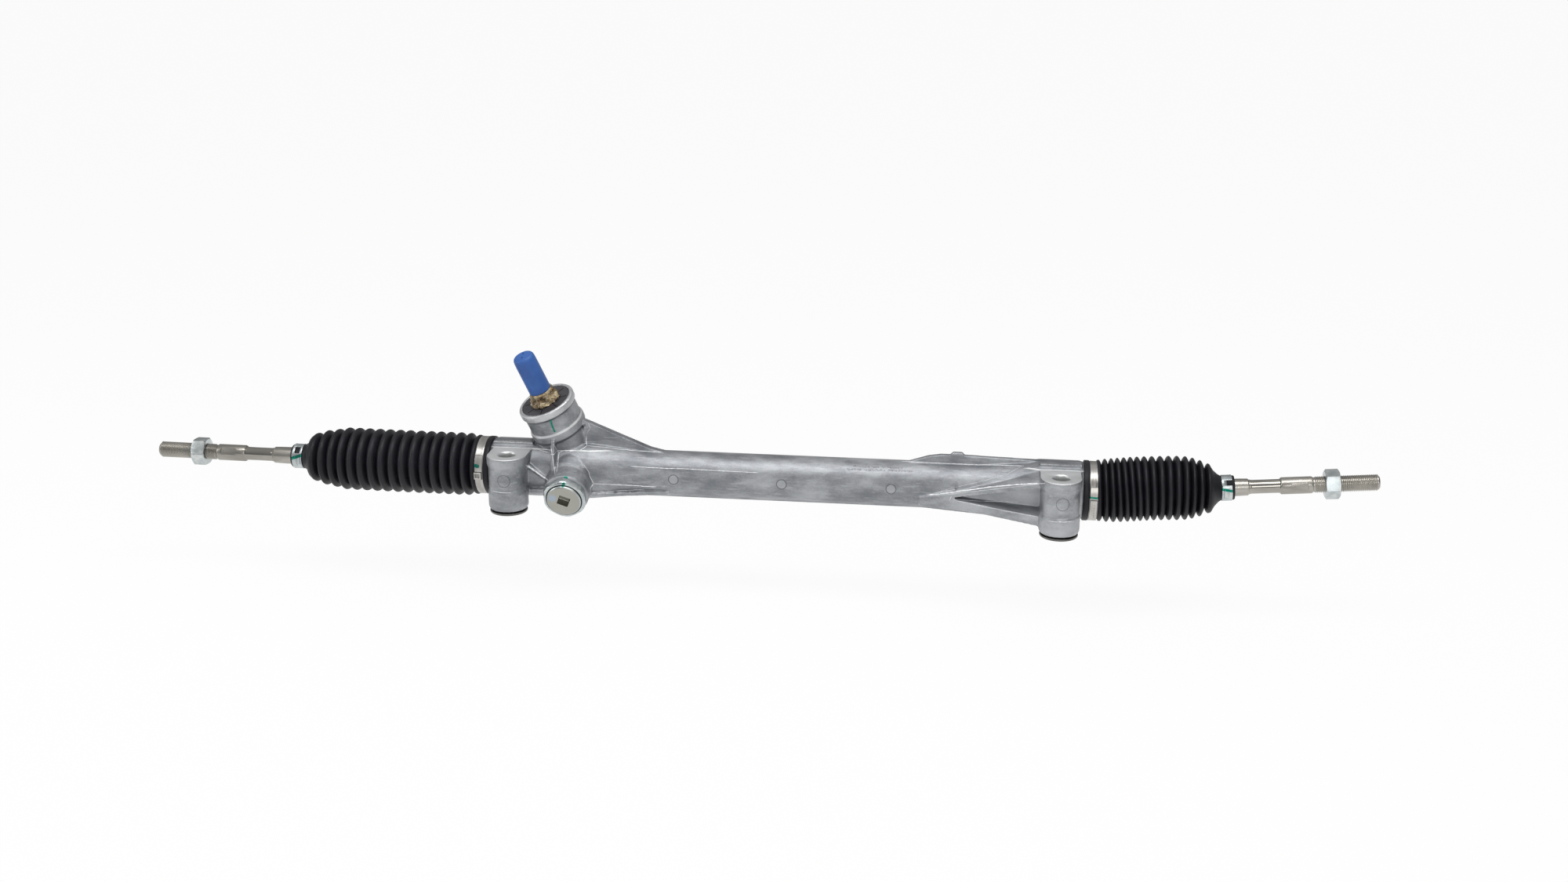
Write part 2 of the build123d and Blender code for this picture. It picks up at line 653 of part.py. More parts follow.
# Lower needle bearing: drawn cup, needles and their cage
cup_floor = needle_floor + 1
cup_top = cup_floor + needle_cup_length
needle_circle = journal_radius + running_clearance + needle_radius
cup_inside = needle_circle + needle_radius + running_clearance
cup_lip = needle_circle - 0.3
with BuildPart() as needle_cup:
    turn(tower, [
        (cup_lip, cup_floor), (needle_cup_radius, cup_floor), (needle_cup_radius, cup_top),
        (cup_lip, cup_top),
        (cup_lip, cup_top - needle_cup_wall), (cup_inside, cup_top - needle_cup_wall),
        (cup_inside, cup_floor + needle_cup_wall), (cup_lip, cup_floor + needle_cup_wall),
    ])
save(needle_cup, "lower_bearing_cup")
needle_middle = (cup_floor + cup_top) / 2
with BuildPart() as needles:
    with Locations(tower.offset(needle_middle)):
        with PolarLocations(needle_circle, needle_count):
            Cylinder(needle_radius, needle_length)
save(needles, "lower_bearing_needles")
cage_half_length = needle_cup_length / 2 - needle_cup_wall - assembly_clearance
with BuildPart() as needle_cage:
    turn(tower, tube_outline(needle_circle - 0.4, needle_circle + 0.5, needle_middle - cage_half_length,
                             needle_middle + cage_half_length))
    with Locations(tower.offset(needle_middle)):
        with PolarLocations(needle_circle, needle_count):
            Cylinder(needle_radius + assembly_clearance, needle_length + assembly_clearance,
                     mode=Mode.SUBTRACT)
save(needle_cage, "lower_bearing_cage")


# Spring rings above the bearing, in the housing and on the shaft
def spring_ring(inner, outer, gap):
    turn(tower, tube_outline(inner, outer, bearing_top, bearing_top + ring_thickness))
    with BuildSketch(tower.offset(bearing_top)) as opening:
        with Locations((-(inner + outer) / 2, 0)):
            Rectangle(outer - inner + 2, gap)
    extrude(opening.sketch, amount=ring_thickness, mode=Mode.SUBTRACT)


with BuildPart() as housing_ring:
    spring_ring(bearing_outer_radius - 2.4, bearing_outer_radius + 0.9, 8)
save(housing_ring, "bearing_retaining_ring")
with BuildPart() as shaft_ring:
    spring_ring(shaft_neck_radius - 0.1, shaft_seat_radius + 1.8, 4)
save(shaft_ring, "shaft_retaining_ring")

# Oil seal and the slotted dust cover at the tower's mouth
seal_floor = bearing_top + ring_thickness + 0.2
seal_top = seal_floor + seal_height
with BuildPart() as oil_seal:
    turn(tower, [
        (bearing_outer_radius - 1.6, seal_floor), (bearing_outer_radius, seal_floor),
        (bearing_outer_radius, seal_top), (shaft_neck_radius + 2.2, seal_top),
        (shaft_neck_radius + running_clearance, seal_floor + 1.2),
        (shaft_neck_radius + running_clearance, seal_floor + 0.5),
        (shaft_neck_radius + 1.6, seal_floor + 1),
        (shaft_neck_radius + 3.8, seal_top - 1.6), (bearing_outer_radius - 1.6, seal_top - 1.6),
    ])
save(oil_seal, "pinion_oil_seal")
with BuildPart() as dust_cover:
    cover_hole = shaft_neck_radius + 0.3
    turn(tower, [
        (cover_hole, cover_floor), (cover_radius, cover_floor),
        (cover_radius, cover_floor + cover_thickness - 0.5),
        (cover_radius - 0.5, cover_floor + cover_thickness), (cover_hole, cover_floor + cover_thickness),
    ])
    with BuildSketch(tower.offset(cover_floor + cover_thickness)) as slots:
        with PolarLocations(0.74 * cover_radius, cover_slots):
            Rectangle(0.3 * cover_radius, 1.2)
    extrude(slots.sketch, amount=-1.2, mode=Mode.SUBTRACT)
save(dust_cover, "pinion_dust_cover")

# Film around the shaft and the pull-off cap on its end
cover_top = cover_floor + cover_thickness
wrap_inside = shaft_neck_radius + assembly_clearance
with BuildPart() as wrap:
    turn(tower, [
        (wrap_inside, cover_top + 0.4), (wrap_radius, cover_top + 0.4), (wrap_radius - 1.2, cover_top + 5),
        (wrap_radius - 0.8, cap_start - 3.5), (wrap_radius - 2.4, cap_start - 0.4),
        (wrap_inside, cap_start - 0.4),
    ])
save(wrap, "shaft_wrap")
cap_edge = 2.6
with BuildPart() as cap:
    turn(tower, [
        (cap_radius - cap_wall, cap_start), (cap_radius, cap_start), (cap_radius, cap_end - cap_edge),
        (cap_radius - 0.8, cap_end - 0.8), (cap_radius - cap_edge, cap_end), (0, cap_end),
        (0, cap_end - cap_wall), (cap_radius - cap_wall, cap_end - cap_wall),
    ])
    with BuildSketch(tower.offset(cap_end - cap_wall)) as vents:
        with Locations((-3.2, 0), (3.2, 0)):
            Circle(0.9)
    extrude(vents.sketch, amount=cap_wall, mode=Mode.SUBTRACT)
save(cap, "pinion_cap")

# Rack guide: saddle, liner, ring and spring behind the threaded plug
plug_back = plug_face - plug_thickness
guide_front = 3.0
guide_back = plug_back - assembly_clearance
liner_inside = rack_radius + running_clearance
liner_outside = liner_inside + guide_liner
spring_floor = plug_back - 15.5
spring_pocket = spring_coil_radius + spring_wire_radius + 0.8
o_ring_radius = 1.1
o_ring_place = guide_back - 10
with BuildPart() as rack_guide:
    turn(guide, tube_outline(0, guide_radius - running_clearance, guide_front, guide_back))
    turn(along, tube_outline(0, liner_outside, guide_x - guide_radius, guide_x + guide_radius),
         Mode.SUBTRACT)
    turn(guide, tube_outline(0, spring_pocket, spring_floor, guide_back), Mode.SUBTRACT)
    turn(guide, tube_outline(guide_radius - 2 * o_ring_radius - 0.1, guide_radius,
                             o_ring_place - 1.3 * o_ring_radius,
                             o_ring_place + 1.3 * o_ring_radius), Mode.SUBTRACT)
save(rack_guide, "rack_guide")
with BuildPart() as guide_seat:
    turn(guide, tube_outline(0, guide_radius - 0.6, guide_front + 0.5, liner_outside + 1))
    turn(along, tube_outline(liner_inside, liner_outside, guide_x - guide_radius, guide_x + guide_radius),
         Mode.INTERSECT)
save(guide_seat, "rack_guide_liner")
with BuildPart() as guide_ring:
    bead(guide, guide_radius - o_ring_radius - running_clearance, o_ring_place, o_ring_radius)
save(guide_ring, "rack_guide_ring")
spring_height = plug_back - spring_floor - 2 * spring_wire_radius - 2 * assembly_clearance
spring_turns = 3
spring_seat = guide.offset(spring_floor + spring_wire_radius + assembly_clearance)
coil = spring_seat * Helix(spring_height / spring_turns, spring_height, spring_coil_radius)
with BuildPart() as guide_spring:
    with BuildSketch(Plane(origin=coil @ 0, z_dir=coil % 0)) as wire:
        Circle(spring_wire_radius)
    sweep(wire.sketch, path=coil)
save(guide_spring, "rack_guide_spring")
with BuildPart() as guide_plug:
    turn(guide, [
        (0, plug_back), (plug_radius - running_clearance, plug_back),
        (plug_radius - running_clearance, plug_face - 1.2), (plug_radius - 1.2, plug_face), (0, plug_face),
    ])
    with BuildSketch(guide.offset(plug_face)) as square:
        Rectangle(plug_socket, plug_socket, rotation=plug_turn)
    extrude(square.sketch, amount=-(plug_thickness - 3), mode=Mode.SUBTRACT)
save(guide_plug, "rack_guide_plug")
with BuildPart() as lock_nut:
    with BuildSketch(guide.offset(guide_boss_face)) as hexagon:
        RegularPolygon(lock_nut_flats / 2, 6, major_radius=False, rotation=30)
        Circle(plug_radius, mode=Mode.SUBTRACT)
    extrude(hexagon.sketch, amount=lock_nut_thickness)
    nut_edge = lock_nut_flats / 2 + 0.3
    nut_top = guide_boss_face + lock_nut_thickness
    turn(guide, [
        (0, guide_boss_face), (nut_edge + 4, guide_boss_face), (nut_edge + 4, nut_top - 1.6),
        (nut_edge, nut_top),
        (0, nut_top),
    ], Mode.INTERSECT)
save(lock_nut, "rack_guide_lock_nut")


def boot_ribs(first, last, peaks):
    """Outline of ribs with the given peak radii between two places, as (radius, place) pairs."""
    outline = []
    pitch = (last - first) / len(peaks)
    for rib_number, peak in enumerate(peaks):
        start = first + rib_number * pitch
        root = min(boot_root_radius, peak - boot_rib_depth)
        outline += [(root, start + 0.08 * pitch), (peak - 0.7, start + 0.36 * pitch),
                    (peak, start + 0.5 * pitch), (peak - 0.7, start + 0.64 * pitch),
                    (root, start + 0.92 * pitch)]
    return outline


# Ball joint, tie rod, boot and clamps of each side
seat_inside = ball_joint_radius + assembly_clearance
seat_outside = seat_inside + ball_seat_wall
cavity_radius = seat_outside + assembly_clearance
mouth_radius = sqrt(cavity_radius ** 2 - socket_mouth ** 2)
groove_start = boot_lip
groove_end = groove_start + boot_band_width + 0.4
for side, name in ((-1, "left"), (1, "right")):
    ball_x = ball_left_x if side < 0 else ball_right_x
    tilt = radians(rod_tilt_left if side < 0 else rod_tilt_right)
    boot_pitch = boot_pitch_left if side < 0 else boot_pitch_right
    boot_end = boot_end_left if side < 0 else boot_end_right
    centre = (ball_x, axis_y, axis_z)
    level = Plane(origin=centre, x_dir=(0, 1, 0), z_dir=(side, 0, 0))
    rod = Plane(origin=centre, x_dir=(0, 1, 0), z_dir=(side * cos(tilt), 0, sin(tilt)))

    socket_back = -(rack_end_recess - lock_washer)
    socket_front = socket_mouth + 2
    with BuildPart() as socket:
        turn(level, [
            (0, -rack_end_recess - shank_length),
            (shank_radius - running_clearance, -rack_end_recess - shank_length),
            (shank_radius - running_clearance, socket_back), (socket_radius, socket_back),
            (socket_radius, socket_front - 3), (socket_radius - 2.2, socket_front), (0, socket_front),
        ])
        with Locations(centre):
            Sphere(cavity_radius, mode=Mode.SUBTRACT)
        turn(level, [(0, 0), (mouth_radius, 0), (mouth_radius, socket_mouth),
                     (mouth_radius + 2.6, socket_front),
                     (0, socket_front)], Mode.SUBTRACT)
    save(socket, f"{name}_ball_socket")
    with BuildPart() as washer:
        turn(level, tube_outline(shank_radius + assembly_clearance, socket_radius - 0.6,
                                 -rack_end_recess, socket_back))
    save(washer, f"{name}_lock_washer")
    with BuildPart() as seat:
        with Locations(centre):
            Sphere(seat_outside)
            Sphere(seat_inside, mode=Mode.SUBTRACT)
        turn(level, tube_outline(0, seat_outside + 1, socket_mouth - 0.4, seat_outside + 1), Mode.SUBTRACT)
    save(seat, f"{name}_ball_seat")

    flats_start = rod_length - flats_from_tip
    flats_end = rod_length - thread_length - 5.5
    flats_distance = sqrt(rod_radius ** 2 - (flats_chord / 2) ** 2)
    flats_turn = flats_turn_left if side < 0 else flats_turn_right
    neck_start = rod_length - neck_from_tip
    neck_end = neck_start + neck_length
    thread_start = rod_length - thread_length
    nut_inner = rod_length - jam_nut_place
    nut_outer = nut_inner + jam_nut_thickness
    with BuildPart() as tie_rod:
        with Locations(centre):
            Sphere(ball_joint_radius)
        turn(rod, [
            (0, 0), (neck_radius, 0), (neck_radius, ball_joint_radius + 3),
            (rod_radius, ball_joint_radius + 12),
            (rod_radius, neck_start - 5), (rod_radius - 0.35, neck_start - 4.5),
            (rod_radius - 0.35, neck_start - 1.5),
            (neck_radius, neck_start), (neck_radius, neck_end), (rod_radius, neck_end + 2),
            (rod_radius, thread_start - 4), (thread_pitch_radius, thread_start - 3),
            (thread_pitch_radius, thread_start - 0.8), (thread_radius, thread_start),
            (thread_radius, nut_inner - 0.1), (thread_pitch_radius, nut_inner - 0.1),
            (thread_pitch_radius, nut_outer), (thread_radius, nut_outer),
            (thread_radius, rod_length - 1.2), (thread_radius - 1.2, rod_length), (0, rod_length),
        ])
        with BuildSketch(rod.offset(flats_start)) as flats:
            with PolarLocations(flats_distance + rod_radius / 2, 2, start_angle=-side * flats_turn):
                Rectangle(rod_radius, 2 * rod_radius)
        extrude(flats.sketch, amount=flats_end - flats_start, mode=Mode.SUBTRACT)
    save(tie_rod, f"{name}_tie_rod")
    nut_turn = jam_nut_turn_left if side < 0 else jam_nut_turn_right
    with BuildPart() as jam_nut:
        with BuildSketch(rod.offset(nut_inner)) as hexagon:
            RegularPolygon(jam_nut_flats / 2, 6, major_radius=False, rotation=30 - side * nut_turn)
            Circle(thread_pitch_radius + running_clearance, mode=Mode.SUBTRACT)
        extrude(hexagon.sketch, amount=jam_nut_thickness)
        half_flats = jam_nut_flats / 2
        turn(rod, [
            (0, nut_inner), (half_flats, nut_inner), (half_flats + 2, nut_inner + 1.2),
            (half_flats + 2, nut_outer - 1.2), (half_flats, nut_outer), (0, nut_outer),
        ], Mode.INTERSECT)
    save(jam_nut, f"{name}_jam_nut")

    # Bellows: straight over the housing's end, then in line with the tie rod from the ball joint out
    boot_start = shoulder_x + assembly_clearance - side * ball_x
    cone_end = boot_end - boot_grip
    cone_start = cone_end - boot_cone
    seat_end = boot_start + boot_seat_length + 0.4
    straight_start = seat_end + 2.2
    straight_count = max(2, round(-straight_start / boot_pitch))
    tilted_count = max(4, round(cone_start / boot_pitch))
    bend = boot_radius * tan(tilt / 2) + 0.4
    fold = Plane(origin=centre, x_dir=(0, 1, 0), z_dir=(side * cos(tilt / 2), 0, sin(tilt / 2)))
    inner_collar = boot_seat_radius + assembly_clearance
    grip_inside = rod_radius + assembly_clearance
    grip_outside = grip_inside + boot_grip_wall
    collar = [
        (boot_collar_radius - 0.6, boot_start), (boot_collar_radius, boot_start + 0.6),
        (boot_collar_radius, boot_start + groove_start - 0.3),
        (boot_band_groove_radius, boot_start + groove_start),
        (boot_band_groove_radius, boot_start + groove_end),
        (boot_collar_radius + 0.4, boot_start + groove_end + 0.3),
        (boot_collar_radius, seat_end), (boot_root_radius, straight_start),
    ]
    peaks = [boot_radius - 0.6 * 0.5 ** number for number in range(straight_count)]
    bellows = boot_ribs(straight_start, -bend, peaks)
    with BuildPart() as boot_inner:
        turn(level, [(inner_collar, boot_start)] + collar + bellows + [
            (boot_root_radius, 2 * bend), (boot_root_radius - boot_wall, 2 * bend)] + [
            (radius - boot_wall, place) for radius, place in reversed(bellows)] + [
            (boot_root_radius - boot_wall, straight_start), (inner_collar, seat_end)])
        split(bisect_by=fold, keep=Keep.BOTTOM)
    peaks = [boot_radius] * (tilted_count - len(boot_taper)) + [boot_radius - drop for drop in boot_taper]
    bellows = boot_ribs(bend, cone_start, peaks)
    cone = [(15.5, cone_start + 0.15 * boot_cone), (13, cone_start + 0.4 * boot_cone),
            (11.2, cone_start + 0.7 * boot_cone), (grip_outside, cone_end)]
    outline = [(boot_root_radius, -2 * bend)] + bellows + cone
    with BuildPart() as boot:
        turn(rod, outline + [(grip_outside, boot_end), (grip_inside, boot_end)] + [
            (max(grip_inside, radius - boot_wall), place) for radius, place in reversed(outline)])
        split(bisect_by=fold, keep=Keep.TOP)
        add(boot_inner.part)
    save(boot, f"{name}_boot")

    with BuildPart() as band:
        band_start = boot_start + groove_start + 0.2
        band_inside = boot_band_groove_radius + running_clearance
        band_outside = band_inside + band_thickness
        turn(level, tube_outline(band_inside, band_outside, band_start, band_start + boot_band_width))
        with BuildSketch(level.offset(band_start + 0.6)) as buckle:
            with Locations((-band_outside - 0.8, 0)):
                Rectangle(2.2, 6.4)
        extrude(buckle.sketch, amount=boot_band_width - 1.2)
    save(band, f"{name}_boot_band")
    with BuildPart() as clip:
        clip_inside = grip_outside + 2 * assembly_clearance
        clip_start = boot_end - clip_place
        turn(rod, tube_outline(clip_inside, clip_inside + clip_thickness,
                               clip_start, clip_start + clip_width))
        with BuildSketch(rod.offset(clip_start)) as ears:
            with Locations((-2.5, clip_inside + 1.8), (2.5, clip_inside + 1.8)):
                Rectangle(clip_thickness, 4)
        extrude(ears.sketch, amount=clip_width)
    save(clip, f"{name}_boot_clip")
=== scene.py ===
import json
from math import asin, atan2, cos, pi, radians, sin, sqrt, tan

import bpy
from mathutils import Matrix, Vector, noise


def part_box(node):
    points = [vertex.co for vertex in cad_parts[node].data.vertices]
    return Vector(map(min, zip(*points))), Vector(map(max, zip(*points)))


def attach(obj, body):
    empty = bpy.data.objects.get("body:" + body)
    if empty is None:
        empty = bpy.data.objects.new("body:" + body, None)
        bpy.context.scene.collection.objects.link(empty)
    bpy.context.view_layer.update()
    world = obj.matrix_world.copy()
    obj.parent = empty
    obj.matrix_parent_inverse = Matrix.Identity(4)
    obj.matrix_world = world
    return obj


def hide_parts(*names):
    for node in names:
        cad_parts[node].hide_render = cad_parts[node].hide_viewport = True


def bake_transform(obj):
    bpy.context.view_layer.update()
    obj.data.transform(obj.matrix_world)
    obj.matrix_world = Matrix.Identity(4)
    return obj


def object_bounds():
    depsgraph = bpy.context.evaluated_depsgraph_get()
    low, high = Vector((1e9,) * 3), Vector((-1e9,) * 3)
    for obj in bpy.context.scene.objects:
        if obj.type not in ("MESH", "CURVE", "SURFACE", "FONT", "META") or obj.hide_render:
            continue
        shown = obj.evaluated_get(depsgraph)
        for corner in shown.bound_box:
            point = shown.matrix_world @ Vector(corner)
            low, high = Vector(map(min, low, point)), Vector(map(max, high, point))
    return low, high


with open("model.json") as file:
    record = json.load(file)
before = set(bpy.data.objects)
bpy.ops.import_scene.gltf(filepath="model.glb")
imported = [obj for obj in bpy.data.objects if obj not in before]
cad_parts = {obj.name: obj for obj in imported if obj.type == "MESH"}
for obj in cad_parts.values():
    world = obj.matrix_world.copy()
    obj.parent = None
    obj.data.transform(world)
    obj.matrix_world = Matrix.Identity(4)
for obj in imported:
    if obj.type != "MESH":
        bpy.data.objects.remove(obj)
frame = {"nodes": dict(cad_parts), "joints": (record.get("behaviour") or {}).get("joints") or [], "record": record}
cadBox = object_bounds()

mm = 0.001
scene = bpy.context.scene
scene.view_settings.view_transform = "Standard"

# Axes and centres that the frame gives
joints = {joint["name"]: joint for joint in frame["joints"]}
sides = ("left", "right")
outward = {"left": -1, "right": 1}
ballCentre = {side: Vector(joints[side + "_rod_lift"]["pos_m"]) for side in sides}
rodAxis = {side: Vector(joints[side + "_rod_turn"]["axis"]).normalized() for side in sides}
pinionBase = Vector(joints["pinion_spin"]["pos_m"])
pinionAxis = Vector(joints["pinion_spin"]["axis"]).normalized()
guideAxis = Vector((0, -pinionAxis.z, pinionAxis.y)).normalized()        # towards the front
rackLine = Vector((0, ballCentre["left"].y, ballCentre["left"].z))
upward = Vector((0, 0, 1))


def placed(origin, along, across):
    # A place whose own z runs along the piece and whose x points across it
    up = along.normalized()
    side = (across - up * across.dot(up)).normalized()
    matrix = Matrix((side, up.cross(side), up)).transposed().to_4x4()
    matrix.translation = origin
    return matrix


def middle(node):
    low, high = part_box(node)
    return (Vector(low) + Vector(high)) / 2


tower = placed(pinionBase, pinionAxis, Vector((0, 1, 0)))
guide = placed(Vector((middle("rack_guide_plug").x, rackLine.y, rackLine.z)), guideAxis, Vector((1, 0, 0)))
rack = placed(rackLine, Vector((1, 0, 0)), upward)        # angles run from the top towards the front
rods = {side: placed(ballCentre[side], rodAxis[side] * outward[side], upward) for side in sides}
boltX = {side: middle(side + "_mount_sleeve").x for side in sides}
bossTop = 51.1 * mm
print("frame read")

# Camera and stage
photoSize = (2000, 1125)
cameraFit = {"yaw": 6.521, "height": 17.749, "roll": 0.335, "lens": 41.06, "sensor": 36,
             "place": (0.167, -1.4284, 0.5336)}
stage = {"reach": 30.0, "drop": 75 * mm, "floorGlow": 0.93, "skyHigh": 0.6, "skyLow": 0.22}
lamps = [
    {"name": "topLamp", "place": (0.05, -0.35, 1.4), "size": (1.8, 0.5), "power": 13, "target": (0, 0, 0)},
    {"name": "frontLamp", "place": (0.5, -2.0, 0.75), "size": (1.4, 0.6), "power": 8, "target": (0, 0, 0)},
    {"name": "leftLamp", "place": (-1.6, -0.5, 0.6), "size": (0.5, 0.9), "power": 5, "target": (-0.1, 0, 0)},
]


def added(name, data):
    thing = bpy.data.objects.new(name, data)
    scene.collection.objects.link(thing)
    return thing


def makeCamera(fit):
    yaw, height, roll = (radians(fit[key]) for key in ("yaw", "height", "roll"))
    back = Vector((sin(yaw) * cos(height), -cos(yaw) * cos(height), sin(height)))
    right = Vector((0, 0, 1)).cross(back).normalized()
    up = back.cross(right)
    turned = right * cos(roll) + up * sin(roll)
    upright = up * cos(roll) - right * sin(roll)
    matrix = Matrix((turned, upright, back)).transposed().to_4x4()
    matrix.translation = Vector(fit["place"])
    lens = bpy.data.cameras.new("photoCamera")
    lens.lens, lens.sensor_width = fit["lens"], fit["sensor"]
    lens.clip_start, lens.clip_end = 0.05, 100
    camera = added("photoCamera", lens)
    camera.matrix_world = matrix
    scene.camera = camera


def makeLamp(settings):
    light = bpy.data.lights.new(settings["name"], "AREA")
    light.shape = "RECTANGLE"
    light.size, light.size_y = settings["size"]
    light.energy = settings["power"]
    lamp = added(settings["name"], light)
    lamp.location = settings["place"]
    aim = Vector(settings["target"]) - lamp.location
    lamp.rotation_euler = aim.to_track_quat("-Z", "Y").to_euler()


class Port:
    # A node's output that can be used in sums
    def __init__(self, recipe, socket):
        self.recipe, self.socket = recipe, socket

    def maths(self, operation, *others):
        return self.recipe.node("ShaderNodeMath", {"operation": operation},
                                dict(enumerate((self,) + others)))

    def __add__(self, other):
        return self.maths("ADD", other)

    def __sub__(self, other):
        return self.maths("SUBTRACT", other)

    def __mul__(self, other):
        return self.maths("MULTIPLY", other)

    def __radd__(self, other):
        return self + other

    def __rsub__(self, other):
        return self * -1 + other

    def __abs__(self):
        return self.maths("ABSOLUTE")


class Recipe:
    # One material and its nodes
    def __init__(self, name):
        self.material = bpy.data.materials.new(name)
        self.material.use_nodes = True
        self.tree = self.material.node_tree
        self.tree.nodes.clear()
        self.shader = self.tree.nodes.new("ShaderNodeBsdfPrincipled")
        self.end = self.tree.nodes.new("ShaderNodeOutputMaterial")
        self.tree.links.new(self.shader.outputs[0], self.end.inputs[0])

    def node(self, kind, settings=None, inputs=None, out=0):
        made = self.tree.nodes.new(kind)
        for key, value in (settings or {}).items():
            setattr(made, key, value)
        self.fill(made, inputs or {})
        return Port(self, made.outputs[out])

    def fill(self, made, inputs):
        for key, value in inputs.items():
            if isinstance(value, Port):
                self.tree.links.new(value.socket, made.inputs[key])
            else:
                made.inputs[key].default_value = value

    def feed(self, **values):
        self.fill(self.shader, {key.replace("_", " "): value for key, value in values.items()})

    def place(self):
        return self.node("ShaderNodeTexCoord", out=3)

    def axes(self, place):
        return [self.node("ShaderNodeSeparateXYZ", {}, {0: place}, out=index) for index in range(3)]

    def stretched(self, place, scale):
        return self.vectorMath("MULTIPLY", place, scale)

    def vectorMath(self, operation, first, second=None, out=0):
        inputs = {0: first} if second is None else {0: first, 1: second}
        return self.node("ShaderNodeVectorMath", {"operation": operation}, inputs, out)

    def cloud(self, place, scale, detail=3, rough=0.55):
        return self.node("ShaderNodeTexNoise", {}, {"Vector": place, "Scale": scale, "Detail": detail,
                                                    "Roughness": rough})

    def step(self, value, low, high):
        return self.node("ShaderNodeMapRange", {"interpolation_type": "SMOOTHSTEP"},
                         {0: value, 1: low, 2: high, 3: 0, 4: 1})

    def mixed(self, factor, first, second):
        return self.node("ShaderNodeMix", {"data_type": "RGBA"}, {0: factor, 6: first, 7: second}, out=2)

    def bumps(self, height, strength, distance):
        inputs = {"Height": height, "Strength": strength, "Distance": distance}
        return self.node("ShaderNodeBump", {}, inputs)

    def within(self, value, limits):
        # 1 on the far side of the second limit, 0 beyond the first, both in millimetres
        return self.step(value, limits[0] * mm, limits[1] * mm)

    def distance(self, place, centre):
        return self.vectorMath("DISTANCE", place, centre, out=1)

    def fromAxis(self, place, origin, axis):
        offset = self.vectorMath("SUBTRACT", place, origin)
        across = self.vectorMath("CROSS_PRODUCT", offset, axis)
        return self.vectorMath("LENGTH", across, out=1)

    def attribute(self, name):
        return self.node("ShaderNodeAttribute", {"attribute_name": name}, out=2)


def grey(value):
    return (value, value, value, 1)


def makeFloor():
    bpy.ops.mesh.primitive_plane_add(size=stage["reach"], location=(0, 0, cadBox[0].z - stage["drop"]))
    ground = bpy.context.object
    ground.name = "studioFloor"
    paper = Recipe("studioPaper")
    paper.feed(Base_Color=grey(0.86), Roughness=0.9, Specular_IOR_Level=0.1)
    seen = paper.node("ShaderNodeLightPath", out=0)
    mirrored = paper.node("ShaderNodeLightPath", out=3)
    through = paper.node("ShaderNodeLightPath", out=6)
    share = (seen + mirrored + through).maths("MINIMUM", 1) * stage["floorGlow"]
    glow = paper.node("ShaderNodeEmission", {}, {"Color": grey(1), "Strength": 1})
    plain = Port(paper, paper.shader.outputs[0])
    both = paper.node("ShaderNodeMixShader", {}, {0: share, 1: plain, 2: glow})
    paper.tree.links.new(both.socket, paper.end.inputs[0])
    ground.data.materials.append(paper.material)


def makeWorld():
    world = bpy.data.worlds.new("studioWorld")
    scene.world = world
    world.use_nodes = True
    tree = world.node_tree
    tree.nodes.clear()
    place = tree.nodes.new("ShaderNodeTexCoord")
    split = tree.nodes.new("ShaderNodeSeparateXYZ")
    ramp = tree.nodes.new("ShaderNodeValToRGB")
    ramp.color_ramp.elements[0].color = grey(stage["skyLow"])
    ramp.color_ramp.elements[1].color = grey(stage["skyHigh"])
    light = tree.nodes.new("ShaderNodeBackground")
    white = tree.nodes.new("ShaderNodeBackground")
    white.inputs["Color"].default_value = grey(1)
    path = tree.nodes.new("ShaderNodeLightPath")
    both = tree.nodes.new("ShaderNodeMixShader")
    end = tree.nodes.new("ShaderNodeOutputWorld")
    links = ((place.outputs["Generated"], split.inputs[0]), (split.outputs[2], ramp.inputs[0]),
             (ramp.outputs[0], light.inputs[0]), (path.outputs["Is Camera Ray"], both.inputs[0]),
             (light.outputs[0], both.inputs[1]), (white.outputs[0], both.inputs[2]),
             (both.outputs[0], end.inputs[0]))
    for first, second in links:
        tree.links.new(first, second)


makeCamera(cameraFit)
makeFloor()
makeWorld()
for settings in lamps:
    makeLamp(settings)
print("stage set")


# Places that the photograph shows, in its pixels, found on the piece that carries them
def seenOn(target, pixel):
    view = scene.camera.matrix_world
    reach = cameraFit["sensor"] / photoSize[0] / cameraFit["lens"]
    right, down = (place - size / 2 for place, size in zip(pixel, photoSize))
    ray = view.to_3x3() @ Vector((right * reach, -down * reach, -1))
    found = target.ray_cast(view.translation, ray.normalized())
    return found[1] if found[0] else None


def seenAlong(target, pixels, gap):
    # Points every few pixels along a line of pixels
    points = []
    for first, second in zip(pixels, pixels[1:]):
        count = max(1, round(sqrt((second[0] - first[0]) ** 2 + (second[1] - first[1]) ** 2) / gap))
        for number in range(count):
            share = number / count
            points.append([a + (b - a) * share for a, b in zip(first, second)])
    points.append(pixels[-1])
    return [place for place in (seenOn(target, pixel) for pixel in points) if place]


paint = {
    "colour": (0.0, 0.235, 0.165, 1),
    "tower": [(702.5, 536.5), (704.5, 544), (707.5, 550.5)],
    "guideBoss": [(721.5, 609.5), (719.5, 617)],
}
inkMarks = [[(1081, 598.5), (1098, 599.2)], [(1104, 599.4), (1128, 600)], [(1134, 600), (1163, 601)],
            [(1090, 594.5), (1120, 596)], [(1126, 596.2), (1150, 597.4)]]
bareOutline = [(1040, 616.5), (1099, 618), (1098, 628), (1040, 626), (1040, 616.5)]
pips = {"boss": [(642.3, 614.2), (1355.8, 644.0)], "tube": (-94.2, 0, 94.2), "tubeFront": 17.2,
        "tubeHeight": 29.3, "radius": 4.2, "bossRadius": 5.4}
castShape = frame["nodes"]["rack_housing"]


